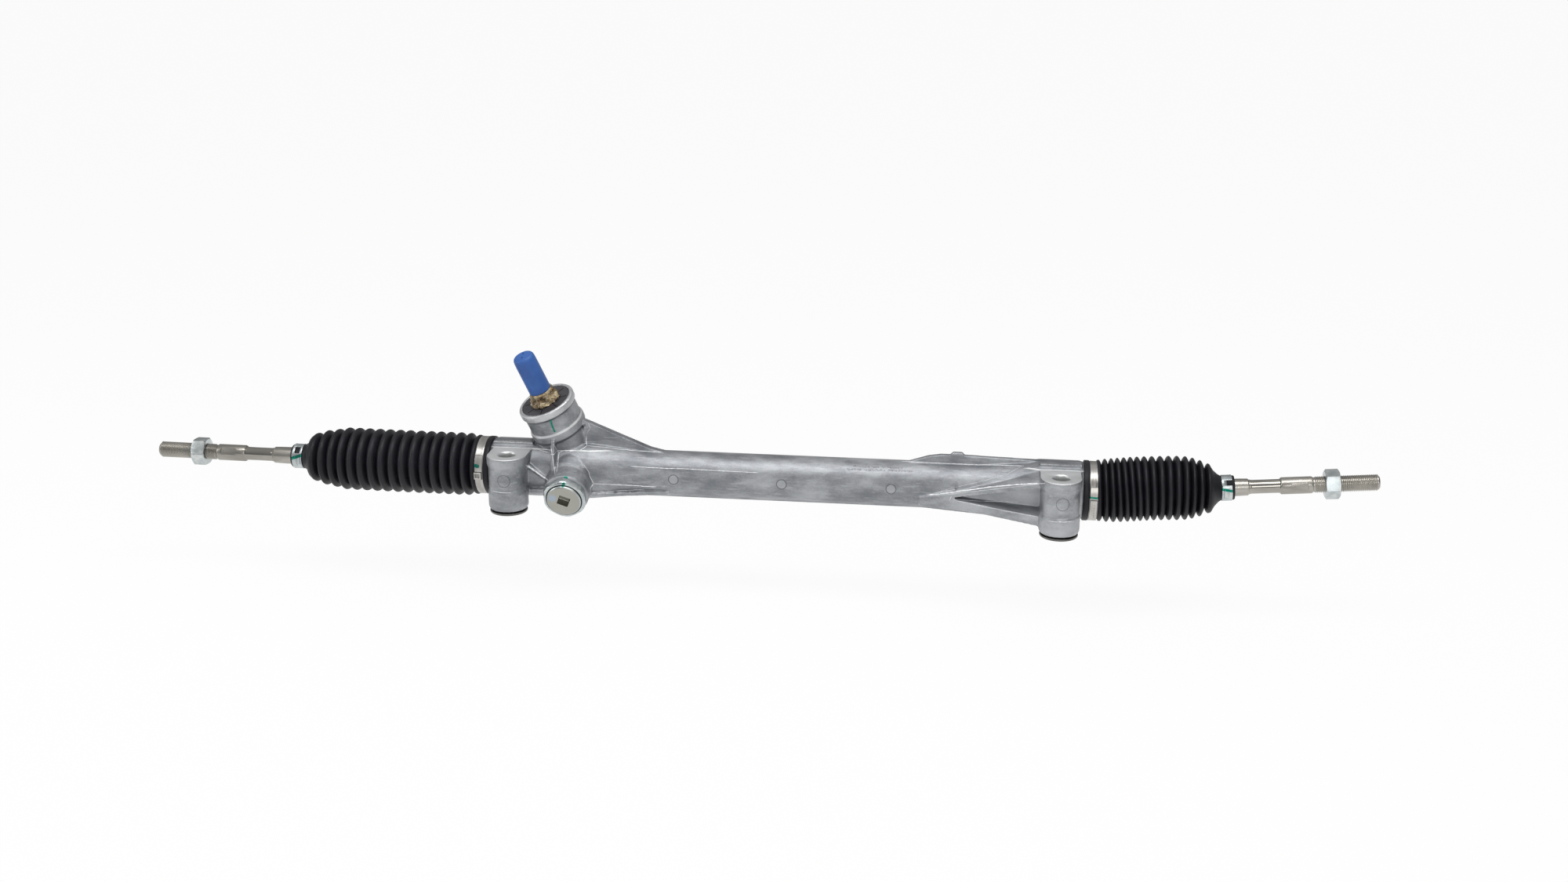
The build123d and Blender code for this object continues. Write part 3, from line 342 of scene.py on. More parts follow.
# Materials
# Tones of the casting; edge also serves as a painted highlight, light also as a painted highlight band on the
# tower, and pit is painted shade in hollows, grooves and under the tower's step and rim
castTones = {"dark": (0.2, 0.209, 0.226, 1), "middle": (0.31, 0.322, 0.341, 1),
             "light": (0.5, 0.512, 0.53, 1), "edge": (0.85, 0.86, 0.87, 1), "pit": (0.06, 0.063, 0.07, 1),
             "machined": (0.8, 0.81, 0.81, 1), "ink": (0.045, 0.047, 0.055, 1),
             "paint": paint["colour"]}

# Painted highlight and shade lines about the tower, where its step and rim catch or lose the light, as station,
# half width, share and tone
towerLightAndShade = [(42.3, 0.9, 0.62, "edge"), (38.3, 2.6, 0.3, "light"), (34.2, 1.2, 0.55, "pit"),
              (57.0, 0.9, 0.5, "pit")]

# Where the masks of cut faces and marks begin and are full, in millimetres
castPlaces = {"level": (0.5, 0.3), "front": (22.2, 21.5), "bore": (10.2, 9.8), "tower": (27.5, 26.8),
              "towerRim": (57.8, 58.6), "pipDisc": (4.2, 3.6)}


def strokeShare(recipe, place, points, width, soft=0.3):
    # 1 on the surface within width of a line through the points, given in metres
    share = None
    for first, second in zip(points, points[1:]):
        run = second - first
        offset = recipe.vectorMath("SUBTRACT", place, first)
        along = recipe.vectorMath("DOT_PRODUCT", offset, run / run.length_squared, out=1)
        along = along.maths("MAXIMUM", 0).maths("MINIMUM", 1)
        nearest = recipe.node("ShaderNodeVectorMath", {"operation": "SCALE"}, {0: run, 3: along})
        near = recipe.within(recipe.distance(offset, nearest), (width + soft, width - soft))
        share = near if share is None else share.maths("MAXIMUM", near)
    return share


def ringShare(recipe, place, centre, radius, width):
    offset = abs(recipe.distance(place, centre) - radius * mm)
    return recipe.within(offset, (width + 0.25, width - 0.15))


def castAluminium():
    metal = Recipe("castAluminium")
    place = metal.place()
    x, y, z = metal.axes(place)
    along = metal.stretched(place, (0.4, 1, 1))
    blotches = metal.cloud(along, 75, 5, 0.62)
    clouds = metal.cloud(along, 14, 2)
    grain = metal.cloud(place, 700, 3, 0.6)
    streaks = metal.cloud(metal.stretched(place, (0.25, 1, 1.6)), 260, 3, 0.5)
    patches = metal.cloud(along, 48, 4, 0.7)
    corner = metal.node("ShaderNodeNewGeometry", out=7)
    # Convex edges and ribs lighter, a painted highlight where they catch the light
    edgeHighlight = metal.step(corner + (grain - 0.5) * 0.08, 0.53, 0.585)
    layers = [(metal.step(blotches * 0.8 + clouds * 0.55 + grain * 0.16, 0.52, 0.98), "light"),
              (metal.step(streaks, 0.56, 0.68) * 0.35, "light"),
              (metal.step(patches, 0.56, 0.7) * 0.6, "middle"),
              (edgeHighlight * 0.8, "edge"),
              # Hollows and inner corners darker, painted shade
              (metal.step(corner, 0.48, 0.43) * 0.7, "pit"),
              (metal.attribute("flash") * (0.45 + grain * 0.6), "edge")]
    machined = metal.within(abs(z - bossTop), castPlaces["level"]) * metal.within(y, castPlaces["front"])
    for side in sides:
        inBore = metal.node("ShaderNodeCombineXYZ", inputs={0: x - boltX[side], 1: y, 2: 0})
        inBore = metal.vectorMath("LENGTH", inBore, out=1)
        machined = machined.maths("MAXIMUM", metal.within(inBore, castPlaces["bore"]))
    towerOff = metal.vectorMath("SUBTRACT", place, pinionBase)
    towerUp = metal.vectorMath("DOT_PRODUCT", towerOff, pinionAxis, out=1)
    onTower = metal.within(metal.fromAxis(place, pinionBase, pinionAxis), castPlaces["tower"])
    # Painted highlight on the tower's step and its upward slope, painted shade under the step and under the rim
    for station, half, share, tone in towerLightAndShade:
        line = metal.within(abs(towerUp - station * mm), (half + 0.35, half - 0.35)) * onTower
        layers.append((line * share, tone))
    rim = metal.within(towerUp, castPlaces["towerRim"]) * onTower
    machined = machined.maths("MAXIMUM", rim * 0.55)
    layers.append((machined * 0.85, "machined"))
    fine = metal.cloud(place, 1500, 2, 0.7)
    lumps = metal.cloud(place, 170, 3, 0.6)
    height = (fine * 0.35 + lumps) * (1 - machined * 0.9)
    for points in zip(bareOutline, bareOutline[1:]):
        height = height + strokeShare(metal, place, seenAlong(castShape, points, 60), 0.5) * 0.7
    for station in pips["tube"]:
        centre = Vector((station * mm, rackLine.y - pips["tubeFront"] * mm, pips["tubeHeight"] * mm))
        # The groove round each pip is darkened as painted shade
        ring = ringShare(metal, place, centre, pips["radius"], 0.3)
        height = height - ring * 2.4
        disc = metal.within(metal.distance(place, centre), castPlaces["pipDisc"])
        layers += [(ring * 0.6, "pit"), (disc * 0.4, "light")]
    for pixel in pips["boss"]:
        ring = ringShare(metal, place, seenOn(castShape, pixel), pips["bossRadius"], 0.25)
        height = height - ring * 2.2
        # Painted shade in the groove round the pip
        layers.append((ring * 0.45, "pit"))
    worn = metal.step(metal.cloud(place, 900, 2), 0.4, 0.55)
    for points in inkMarks:
        share = strokeShare(metal, place, seenAlong(castShape, points, 20), 0.9, 0.5) * worn
        layers.append((share * 0.5, "ink"))
    for name, width in (("tower", 0.8), ("guideBoss", 1.7)):
        share = strokeShare(metal, place, seenAlong(castShape, paint[name], 8), width)
        layers.append((share * (0.75 + worn * 0.25), "paint"))
    colour = castTones["dark"]
    for share, tone in layers:
        colour = metal.mixed(share, colour, castTones[tone])
    metal.feed(Base_Color=colour, Metallic=0.8, Normal=metal.bumps(height, 0.5, 0.3 * mm),
               Roughness=(0.36 + blotches * 0.3) * (1 - machined * 0.2))
    return metal.material


shadeTone = (0.07, 0.072, 0.078, 1)
# line is painted shade in the gap round the plug
plugTones = {"face": (0.36, 0.352, 0.305, 1), "sheen": (0.36, 0.46, 0.6, 1), "line": (0.03, 0.032, 0.035, 1)}
plugPlaces = {"face": (14.6, 13.9), "sheen": (6.2, 2.8), "sheenAt": (-9.5, 3.0, 48), "gap": (0.6, 0.3),
              "gapAt": 15.6}


def guideTones(metal, place, colour, patches):
    # The plug's face is duller than its nut, with a rainbow sheen on one side and painted shade in the gap round
    # it
    out = metal.fromAxis(place, guide.translation, guideAxis)
    face = metal.within(out, plugPlaces["face"])
    colour = metal.mixed(face * 0.85, colour, plugTones["face"])
    sheenAt = guide @ (Vector(plugPlaces["sheenAt"]) * mm)
    sheen = metal.within(metal.distance(place, sheenAt) + patches * 2 * mm, plugPlaces["sheen"])
    colour = metal.mixed(sheen * face * 0.6, colour, plugTones["sheen"])
    # Painted shade along the gap between plug and nut
    gap = metal.within(abs(out - plugPlaces["gapAt"] * mm), plugPlaces["gap"])
    return metal.mixed(gap * 0.9, colour, plugTones["line"])


def steel(name, dark, light, rough, scale, stretch=(1, 1, 1), grainDepth=0.05, marks=(), spread=0.25):
    metal = Recipe(name)
    place = metal.place()
    patches = metal.cloud(metal.stretched(place, stretch), scale, 4, 0.6)
    fine = metal.cloud(place, 2200, 2)
    colour = metal.mixed(metal.step(patches, 0.35, 0.7), dark, light)
    if name == "zincSteel":
        colour = guideTones(metal, place, colour, patches)
    # Darker where the shade attribute is set: a darker tone on the sleeves' feet and a slightly darker hoop,
    # painted shade on the bands' outlines and in the buckle's hollow
    colour = metal.mixed(metal.attribute("shade"), colour, shadeTone)
    worn = metal.step(metal.cloud(place, 1100, 2), 0.36, 0.5)
    for points, width in marks:
        share = strokeShare(metal, place, points, width, 0.25) * (0.7 + worn * 0.3)
        colour = metal.mixed(share, colour, paint["colour"])
    polish = metal.attribute("polish")
    metal.feed(Base_Color=colour, Metallic=1.0,
               Roughness=(rough + (patches - 0.5) * spread) * (1 - polish * 0.68),
               Normal=metal.bumps((fine * 0.5 + patches * 0.5) * (1 - polish), 0.3, grainDepth * mm))
    return metal.material


def rubber(name, dark, light, rough):
    skin = Recipe(name)
    place = skin.place()
    dust = skin.cloud(place, 60, 5, 0.65)
    fine = skin.cloud(place, 1400, 2)
    # Lighter in random dust patches, and towards the crests of the ribs as a painted highlight
    worn = skin.step(dust, 0.4, 0.8) * 0.35 + skin.step(skin.attribute("ridge"), 0.6, 1.0) * 0.3
    skin.feed(Base_Color=skin.mixed(worn, dark, light), Roughness=rough + (dust - 0.5) * 0.2,
              Specular_IOR_Level=0.3, Normal=skin.bumps(fine, 0.25, 0.06 * mm))
    return skin.material


def plastic(name, dark, light, rough):
    shell = Recipe(name)
    place = shell.place()
    cast = shell.cloud(place, 45, 3)
    fine = shell.cloud(place, 1700, 2)
    shell.feed(Base_Color=shell.mixed(shell.step(cast, 0.3, 0.75), dark, light),
               Roughness=rough + (cast - 0.5) * 0.15, Normal=shell.bumps(fine + cast * 2, 0.2, 0.05 * mm))
    return shell.material


def wrapFilm():
    film = Recipe("wrapFilm")
    place = film.place()
    folds = film.cloud(place, 110, 3, 0.5)
    stains = film.cloud(place, 230, 3, 0.55)
    tint = film.mixed(film.step(folds, 0.34, 0.66), (0.16, 0.095, 0.035, 1), (0.5, 0.4, 0.24, 1))
    tint = film.mixed(film.step(stains, 0.52, 0.62) * 0.7, tint, (0.035, 0.026, 0.018, 1))
    tint = film.mixed(film.step(stains, 0.42, 0.36) * 0.6, tint, (0.66, 0.62, 0.52, 1))
    film.feed(Base_Color=tint, Roughness=0.16 + folds * 0.25, Alpha=0.72 + folds * 0.4,
              Normal=film.bumps(folds + stains * 0.5, 0.6, 0.8 * mm))
    return film.material


def aroundRack(x, radius, angle):
    # A point on a round face about the rack's line; the angle runs from the top to the front
    return rack @ Vector((radius * cos(radians(angle)), radius * sin(radians(angle)), x))


def aroundRod(side, station, radius, angle):
    turned = Vector((radius * cos(radians(angle)) * mm, radius * sin(radians(angle)) * mm,
                     outward[side] * station * mm))
    return rods[side] @ turned


bandMarks = [([aroundRack(-0.2685, 0.0259, 74), aroundRack(-0.2655, 0.0259, 75)], 1.6),
             ([aroundRack(0.2610, 0.0255, 84), aroundRack(0.2690, 0.0255, 85)], 1.2)]
clipMarks = [([aroundRod("left", 83.0, 11.2, 70), aroundRod("left", 90.6, 11.2, 84)], 1.5),
             ([aroundRod("right", 88.0, 11.2, 78), aroundRod("right", 96.6, 11.2, 88)], 1.2)]
nutMark = [(seenAlong(frame["nodes"]["rack_guide_lock_nut"], [(719, 617), (718, 620)], 5), 1.3)]
finishes = {
    "cast_aluminium": castAluminium(),
    "machined_steel": steel("machinedSteel", (0.3, 0.287, 0.26, 1), (0.5, 0.48, 0.44, 1), 0.34, 45,
                            (0.3, 1, 1), 0.01, spread=0.12),
    "zinc_steel": steel("zincSteel", (0.44, 0.48, 0.49, 1), (0.66, 0.69, 0.68, 1), 0.34, 130,
                        grainDepth=0.12, marks=nutMark + clipMarks),
    "stainless_band": steel("stainlessBand", (0.4, 0.385, 0.36, 1), (0.6, 0.585, 0.56, 1), 0.33, 120,
                            (1, 0.3, 0.3), marks=bandMarks),
    "bearing_steel": steel("bearingSteel", (0.6, 0.6, 0.6, 1), (0.72, 0.72, 0.72, 1), 0.18, 60),
    "spring_steel": steel("springSteel", (0.16, 0.16, 0.17, 1), (0.3, 0.3, 0.31, 1), 0.4, 140),
    "boot_rubber": rubber("bootRubber", (0.006, 0.006, 0.009, 1), (0.021, 0.02, 0.027, 1), 0.46),
    "bush_rubber": rubber("bushRubber", (0.012, 0.012, 0.012, 1), (0.035, 0.035, 0.036, 1), 0.65),
    "seal_rubber": rubber("sealRubber", (0.015, 0.015, 0.016, 1), (0.04, 0.04, 0.04, 1), 0.6),
    "black_plastic": plastic("blackPlastic", (0.03, 0.029, 0.034, 1), (0.055, 0.054, 0.062, 1), 0.42),
    "nylon": plastic("nylonResin", (0.72, 0.68, 0.58, 1), (0.82, 0.79, 0.7, 1), 0.42),
    "cap_blue": plastic("capBlue", (0.02, 0.085, 0.31, 1), (0.032, 0.12, 0.4, 1), 0.45),
    "wrap_film": wrapFilm(),
}
for row in frame["record"]["subparts"]:
    node = frame["nodes"][row["node"]]
    node.data.materials.clear()
    node.data.materials.append(finishes[row["material_slot"]])
print("materials made")


# Tools for the pieces
def deselectAll():
    for thing in list(bpy.context.selected_objects):
        thing.select_set(False)
    bpy.context.view_layer.objects.active = None


def makeActive(piece):
    deselectAll()
    piece.select_set(True)
    bpy.context.view_layer.objects.active = piece


def modify(piece, kind, **settings):
    makeActive(piece)
    modifier = piece.modifiers.new(kind.title(), kind)
    for key, value in settings.items():
        setattr(modifier, key, value)
    bpy.ops.object.modifier_apply(modifier=modifier.name)


def smoothShade(piece, angle):
    makeActive(piece)
    bpy.ops.object.shade_smooth_by_angle(angle=radians(angle))


def openEdit(piece):
    # Edit mode with everything selected
    makeActive(piece)
    bpy.ops.object.mode_set(mode="EDIT")
    bpy.ops.mesh.select_all(action="SELECT")


def closeEdit(weld=0, holes=False, turned=False):
    # Welds points closer than weld millimetres, closes holes, turns faces outward and leaves edit mode
    if weld:
        bpy.ops.mesh.remove_doubles(threshold=weld * mm)
    if holes:
        bpy.ops.mesh.fill_holes(sides=0)
    if turned:
        bpy.ops.mesh.normals_make_consistent(inside=False)
    bpy.ops.object.mode_set(mode="OBJECT")


def drawn(name, outline):
    # A line of edges on the XZ plane through (radius, height) points in millimetres, left in edit mode
    bpy.ops.mesh.primitive_plane_add(size=1)
    piece = bpy.context.object
    piece.name = name
    openEdit(piece)
    bpy.ops.mesh.select_mode(type="VERT")
    bpy.ops.mesh.merge(type="CENTER")
    bpy.ops.transform.translate(value=(outline[0][0] * mm, 0, outline[0][1] * mm))
    for before, after in zip(outline, outline[1:]):
        move = ((after[0] - before[0]) * mm, 0, (after[1] - before[1]) * mm)
        bpy.ops.mesh.extrude_region_move(TRANSFORM_OT_translate={"value": move})
    bpy.ops.mesh.select_all(action="SELECT")
    return piece


def lathe(name, outline, where, steps=96, smooth=35, first=0, last=360):
    # Turned about the local z of where, from the first angle to the last; ends are closed with a face
    piece = drawn(name, outline)
    bpy.ops.mesh.spin(steps=steps, angle=-radians(last - first), center=(0, 0, 0), axis=(0, 0, 1))
    bpy.ops.mesh.select_all(action="SELECT")
    closeEdit(0.002, last - first < 360, True)
    piece.data.transform(where @ Matrix.Rotation(radians(first), 4, "Z"))
    if smooth:
        smoothShade(piece, smooth)
    return piece


def ringPlate(name, where, radii, along, angles, edge):
    # A plate that lies round a cylinder, with its outer edges broken
    (inner, outer), (low, high), (first, last) = radii, along, angles
    outline = [(inner, low), (outer - edge, low), (outer, low + edge), (outer, high - edge),
               (outer - edge, high), (inner, high), (inner, low)]
    return lathe(name, outline, where, max(6, round((last - first) / 4)), 35, first, last)


def joined(name, pieces):
    deselectAll()
    for piece in pieces:
        piece.select_set(True)
    bpy.context.view_layer.objects.active = pieces[0]
    bpy.ops.object.join()
    pieces[0].name = name
    return pieces[0]


def cutBy(piece, cutter, operation="DIFFERENCE"):
    modify(piece, "BOOLEAN", operation=operation, solver="EXACT", object=cutter)
    bpy.data.objects.remove(cutter)


def block(name, where, low, high):
    # A block between two corners given in millimetres, put at a place
    bpy.ops.mesh.primitive_cube_add(size=1)
    piece = bpy.context.object
    piece.name = name
    openEdit(piece)
    bpy.ops.transform.resize(value=[(b - a) * mm for a, b in zip(low, high)])
    bpy.ops.transform.translate(value=[(a + b) / 2 * mm for a, b in zip(low, high)])
    closeEdit()
    piece.data.transform(where)
    return piece


def softened(node, name, width, parts=2):
    # A copy of a CAD node with its sharp edges broken
    piece = added(name, frame["nodes"][node].data.copy())
    openEdit(piece)
    bpy.ops.mesh.remove_doubles(threshold=0.003 * mm)
    bpy.ops.mesh.dissolve_limited(angle_limit=radians(1.5))
    closeEdit()
    modify(piece, "BEVEL", width=width * mm, segments=parts, limit_method="ANGLE", angle_limit=radians(25))
    smoothShade(piece, 35)
    return piece


def marked(piece, name, valueAt):
    # Gives each vertex a number that its material reads
    marks = piece.data.attributes.new(name, "FLOAT", "POINT")
    for vertex in piece.data.vertices:
        marks.data[vertex.index].value = valueAt(vertex.co)
    return piece


def shaded(piece, share, below=None):
    # Darkens steel, all of it or only what lies below a height
    return marked(piece, "shade", lambda point: share if below is None or point.z < below * mm else 0)


def finish(piece, slotName, body=None, stands=()):
    piece.data.materials.clear()
    piece.data.materials.append(finishes[slotName])
    if body:
        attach(piece, body)
    if stands:
        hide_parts(*stands)


# Housing: the cast body, with its corners rounded as the mould leaves them
casting = {"voxel": 0.7, "rounds": 5, "triangles": 190000}

# What a tool has cut, in millimetres: round faces by radius and start, the tube's ends and bore, boss tops
roundCuts = [(tower.inverted(), 27, 57), (guide.inverted(), 21, 38.6)]
tubeCuts = {"ends": 255.5, "bore": 18}
topCuts = {"depth": 0.8, "reach": 19, "front": 24}


def isCut(point):
    # Whether a tool has cut the face there; elsewhere it keeps its cast skin
    for inverse, radius, start in roundCuts:
        local = inverse @ point
        if local.z > start * mm and Vector((local.x, local.y)).length < radius * mm:
            return True
    across = Vector((point.y - rackLine.y, point.z - rackLine.z)).length
    if abs(point.x) > tubeCuts["ends"] * mm or across < tubeCuts["bore"] * mm:
        return True
    onTop = point.z > bossTop - topCuts["depth"] * mm and point.y < topCuts["front"] * mm
    return onTop and any(abs(point.x - boltX[side]) < topCuts["reach"] * mm for side in sides)


def makeHousing():
    body = added("castHousing", castShape.data.copy())
    openEdit(body)
    closeEdit(0.005)
    modify(body, "REMESH", mode="VOXEL", voxel_size=casting["voxel"] * mm)
    soft = body.vertex_groups.new(name="castSkin")
    skin = [vertex.index for vertex in body.data.vertices if not isCut(vertex.co)]
    soft.add(skin, 1, "REPLACE")
    modify(body, "SMOOTH", factor=0.6, iterations=casting["rounds"], vertex_group="castSkin")
    count = len(body.data.polygons) * 2
    modify(body, "DECIMATE", ratio=min(1, casting["triangles"] / count))
    smoothShade(body, 40)
    finish(body, "cast_aluminium", "housing", ["rack_housing"])
    print("housing", count, len(body.data.polygons))
    return body


# Thin seams that the mould leaves along ribs and joins, as lines of the photograph's pixels
flashSeams = [
    (0.34, [(804, 594.6), (826, 596.3), (845, 597.3), (872, 598), (905, 599.8), (935, 601.4), (968, 603)]),
    (0.30, [(749.4, 568.6), (770, 570.6), (789, 572.8), (814, 575.4), (845, 576.4)]),
    (0.36, [(684.4, 571.4), (689.7, 574.4), (701, 577.5)]),
    (0.40, [(713, 577.7), (717, 575.6), (722.9, 573.6)]),
    (0.42, [(726.2, 576.1), (733, 574.8), (739.5, 574.4), (744, 572), (748.6, 568.6), (747.8, 562),
            (748, 556)]),
    (0.40, [(701.7, 565.3), (703.8, 576.1), (706.3, 592.7), (708, 606)]),
    (0.32, [(705.5, 566.1), (709, 572), (713, 577.7), (711.5, 592.7), (709.6, 604)]),
    (0.95, [(670.3, 592.8), (684, 602), (698.9, 612.7)]),
    (0.42, [(744.5, 592.7), (750.3, 600.9), (753, 609), (756.9, 616.7), (752.8, 623.3), (754.4, 627.5)]),
    (0.32, [(756.9, 616.9), (772, 617.6), (789, 618.4), (812, 619.6), (837, 621.2)]),
    (0.28, [(750.3, 629.1), (770, 627.4), (789, 625.8), (822, 624.2)]),
    (0.36, [(750.3, 539.6), (752.8, 546.2), (749, 552)]),
    (0.85, [(1183, 631.9), (1200, 630.2), (1213, 628.4), (1240, 624.8), (1264, 621.4), (1299, 618.2),
            (1333, 616.5)]),
    (0.15, [(1184, 631.4), (1213, 622.8), (1253, 613.7), (1286, 603.9), (1303, 594.9)]),
    (0.32, [(1150, 588.4), (1180, 590.1), (1236, 592.6), (1306, 594.2)]),
    (0.46, [(1213.7, 633.3), (1212, 636), (1211.8, 638.9)]),
    (0.26, [(1216.5, 637.2), (1240, 638.6), (1264, 639.6), (1300, 640.3)]),
    (0.30, [(1336, 664.5), (1346, 665.6), (1358, 666), (1370, 665)]),
    (0.30, [(629, 626.5), (640, 628.6), (652, 628.8)]),
]
seamLook = {"gap": 2.0, "wander": 0.16, "wanderScale": 520, "plain": 0.85, "swell": 0.55, "swellScale": 700,
            "taper": 3, "tip": 0.35}


def makeSeams(body):
    look = seamLook
    made = []
    for number, (width, pixels) in enumerate(flashSeams):
        points = seenAlong(body, pixels, look["gap"])
        curve = bpy.data.curves.new("seam", "CURVE")
        curve.dimensions = "3D"
        curve.bevel_depth = width * mm
        curve.bevel_resolution = 1
        curve.use_fill_caps = True
        line = curve.splines.new("POLY")
        line.points.add(len(points) - 1)
        for index, (place, point) in enumerate(zip(points, line.points)):
            wander = noise.noise_vector(place * look["wanderScale"])
            point.co = (*(place + wander * look["wander"] * mm), 1)
            ends = min(1, min(index, len(points) - 1 - index) / look["taper"] + look["tip"])
            swell = noise.noise(place * look["swellScale"] + Vector((number, 0, 0)))
            point.radius = ends * (look["plain"] + look["swell"] * swell)
        makeActive(added("seam", curve))
        bpy.ops.object.convert(target="MESH")
        made.append(bpy.context.object)
    seams = joined("castSeams", made)
    openEdit(seams)
    closeEdit(0.002, turned=True)
    marked(seams, "flash", lambda point: 1)
    smoothShade(seams, 60)
    finish(seams, "cast_aluminium", "housing")
    print("seams", len(made))


housing = makeHousing()
makeSeams(housing)


# Plug and lock nut of the guide; the nut's corners are turned round, as its chamfers run deep
guideParts = {"nutFrom": 39.4, "nutTo": 46.05, "nutRound": 18.9, "nutFlat": 17.0, "plugEdge": 0.6}


def makeGuideParts():
    sizes = guideParts
    finish(softened("rack_guide_plug", "guidePlug", sizes["plugEdge"], 3), "zinc_steel", "housing",
           ["rack_guide_plug"])
    nut = softened("rack_guide_lock_nut", "guideNut", 0.25)
    wide, low, high = sizes["nutRound"], sizes["nutFrom"], sizes["nutTo"]
    turned = lathe("turned", [(0, low), (wide, low), (wide, high - 2.0), (wide - 0.5, high - 0.9),
                              (sizes["nutFlat"], high), (0, high)], guide, 96, 0)
    cutBy(nut, turned, "INTERSECT")
    smoothShade(nut, 30)
    finish(nut, "zinc_steel", "housing", ["rack_guide_lock_nut"])


makeGuideParts()
for side in sides:
    finish(softened(side + "_jam_nut", side + "RodNut", 0.5, 3), "zinc_steel", side + "_rod",
           [side + "_jam_nut"])
    sleeve = shaded(softened(side + "_mount_sleeve", side + "Sleeve", 0.2), 0.72, 5)
    finish(sleeve, "machined_steel", "housing", [side + "_mount_sleeve"])
print("nuts and sleeves")


# Rubber of the mounts, with its lip swelling out at the boss's foot
mountRubber = [(9.1, 2.1), (14.2, 2.1), (14.7, 2.3), (14.85, 2.6), (14.6, 2.9), (14.0, 3.1), (11.6, 3.5),
               (11.45, 5.0), (11.4, 42.5), (10.9, 43.6), (9.8, 43.7), (9.1, 43.2), (9.1, 2.1)]
for side in sides:
    where = Matrix.Translation((boltX[side], 0, 0))
    ring = lathe(side + "MountRubber", mountRubber, where, 72, 40)
    finish(ring, "bush_rubber", "housing", [side + "_mount_rubber"])


# Boots: bellows along a line that bends at the ball joint
boots = {
    "left": {"start": 256.4, "depth": 5.4, "end": 441.0, "sag": 0.0, "seams": (385.9, 404.6), "rigid": (),
             "cone": [(423.0, 18.6), (424.5, 15.4), (426.5, 12.7), (430.2, 10.5)],
             "ribs": [(270.7, 26.2), (278.9, 27.5), (288.1, 27.7), (297.6, 27.7), (306.5, 27.7),
                      (315.4, 27.7), (324.7, 27.7), (334.6, 27.7), (343.8, 27.7), (353.2, 27.7),
                      (362.6, 27.7), (372.1, 27.7), (381.3, 27.7), (390.5, 27.6), (399.8, 25.9),
                      (409.5, 24.3), (418.9, 21.5)]},
    "right": {"start": 256.4, "depth": 5.2, "end": 382.5, "sag": 1.8, "seams": (318.45, 338.55),
              "rigid": ("BootEnd",), "cone": [(365.5, 15.6), (369.0, 12.0), (371.5, 10.4)],
              "ribs": [(270.0, 26.2), (275.6, 26.9), (281.4, 27.2), (287.0, 27.4), (292.6, 27.4),
                       (298.0, 27.5), (303.4, 27.4), (309.1, 27.4), (315.2, 27.3), (321.7, 27.3),
                       (328.4, 27.3), (335.1, 27.3), (342.0, 27.0), (348.1, 25.8), (354.4, 23.8),
                       (361.4, 21.0)]},
}
bootWall, collarRadius, grooveRadius, lipWidth, grooveWidth = 1.3, 25.8, 24.6, 4.8, 7.6
mouthRadius, mouthReach, holeRadius, bendReach = 23.5, 14, 8.0, 9.0
ridges = {"from": 22.5, "over": 5}
ribGap, ribPower, sagEnds = 6.5, 0.4, (6, 20)
ribShares = (0.0, 0.09, 0.18, 0.28, 0.38, 0.5, 0.62, 0.72, 0.82, 0.91)


def ribCurve(first, second, depth):
    # The valley between two peaks, as (place, radius), up to the second peak
    (a, peakA), (b, peakB) = first, second
    gap = b - a
    root = min(peakA, peakB) - depth * min(1, gap / ribGap)
    points = []
    for share in ribShares:
        peak = peakA + (peakB - peakA) * share
        wave = (0.5 + 0.5 * cos(2 * pi * share)) ** ribPower
        points.append((a + gap * share, root + (peak - root) * wave))
    return points


def bootOutline(boot):
    begin = boot["start"]
    outline = [(begin, 23.6), (begin, collarRadius - 0.8), (begin + 0.3, collarRadius - 0.2),
               (begin + 0.9, collarRadius), (begin + lipWidth - 0.6, collarRadius),
               (begin + lipWidth - 0.1, collarRadius - 0.4), (begin + lipWidth, grooveRadius),
               (begin + lipWidth + grooveWidth, grooveRadius)]
    ribs = boot["ribs"]
    outline += [(ribs[0][0] - 1.3, ribs[0][1] - 0.5)]
    for first, second in zip(ribs, ribs[1:]):
        outline += ribCurve(first, second, boot["depth"])
    outline += [ribs[-1], (ribs[-1][0] + 1.2, ribs[-1][1] - 0.5)] + boot["cone"]
    outline += [(boot["end"] - 0.6, 10.3), (boot["end"], 9.9)]
    return outline


def centreLine(side, place):
    # Height of the boot's middle at a distance from the middle of the housing
    centre = ballCentre[side]
    slope = tan(asin(rodAxis[side].z))
    beyond = place - abs(centre.x) / mm
    bent = (beyond + sqrt(beyond ** 2 + bendReach ** 2)) / 2
    height = slope * bent
    low, high = boots[side]["start"] + sagEnds[0], boots[side]["end"] - sagEnds[1]
    share = min(1, max(0, (place - low) / (high - low)))
    return height + boots[side]["sag"] * sin(pi * share) ** 1.2


def bendBoot(piece, side):
    # The piece is built with its axis on X; its points move onto the boot's own line
    for vertex in piece.data.vertices:
        place = abs(vertex.co.x) / mm
        height = centreLine(side, place)
        slope = (centreLine(side, place + 1) - centreLine(side, place - 1)) / 2
        rise = vertex.co.z - rackLine.z
        vertex.co.z = rackLine.z + height * mm + rise * cos(slope)
        vertex.co.x -= outward[side] * rise * sin(slope)


def cutOutline(outline, low, high):
    # The stretch of an outline between two places, with its ends worked out
    kept = [outline[0]] if low <= outline[0][0] else []
    for (a, ra), (b, rb) in zip(outline, outline[1:]):
        for limit in (low, high):
            if a < limit < b:
                kept.append((limit, ra + (rb - ra) * (limit - a) / (b - a)))
        if low <= b <= high:
            kept.append((b, rb))
    if low > outline[0][0]:
        kept.sort(key=lambda point: point[0])
    return kept


def ridgeShare(point):
    radius = Vector((point.y - rackLine.y, point.z - rackLine.z)).length / mm
    return min(1, max(0, (radius - ridges["from"]) / ridges["over"]))


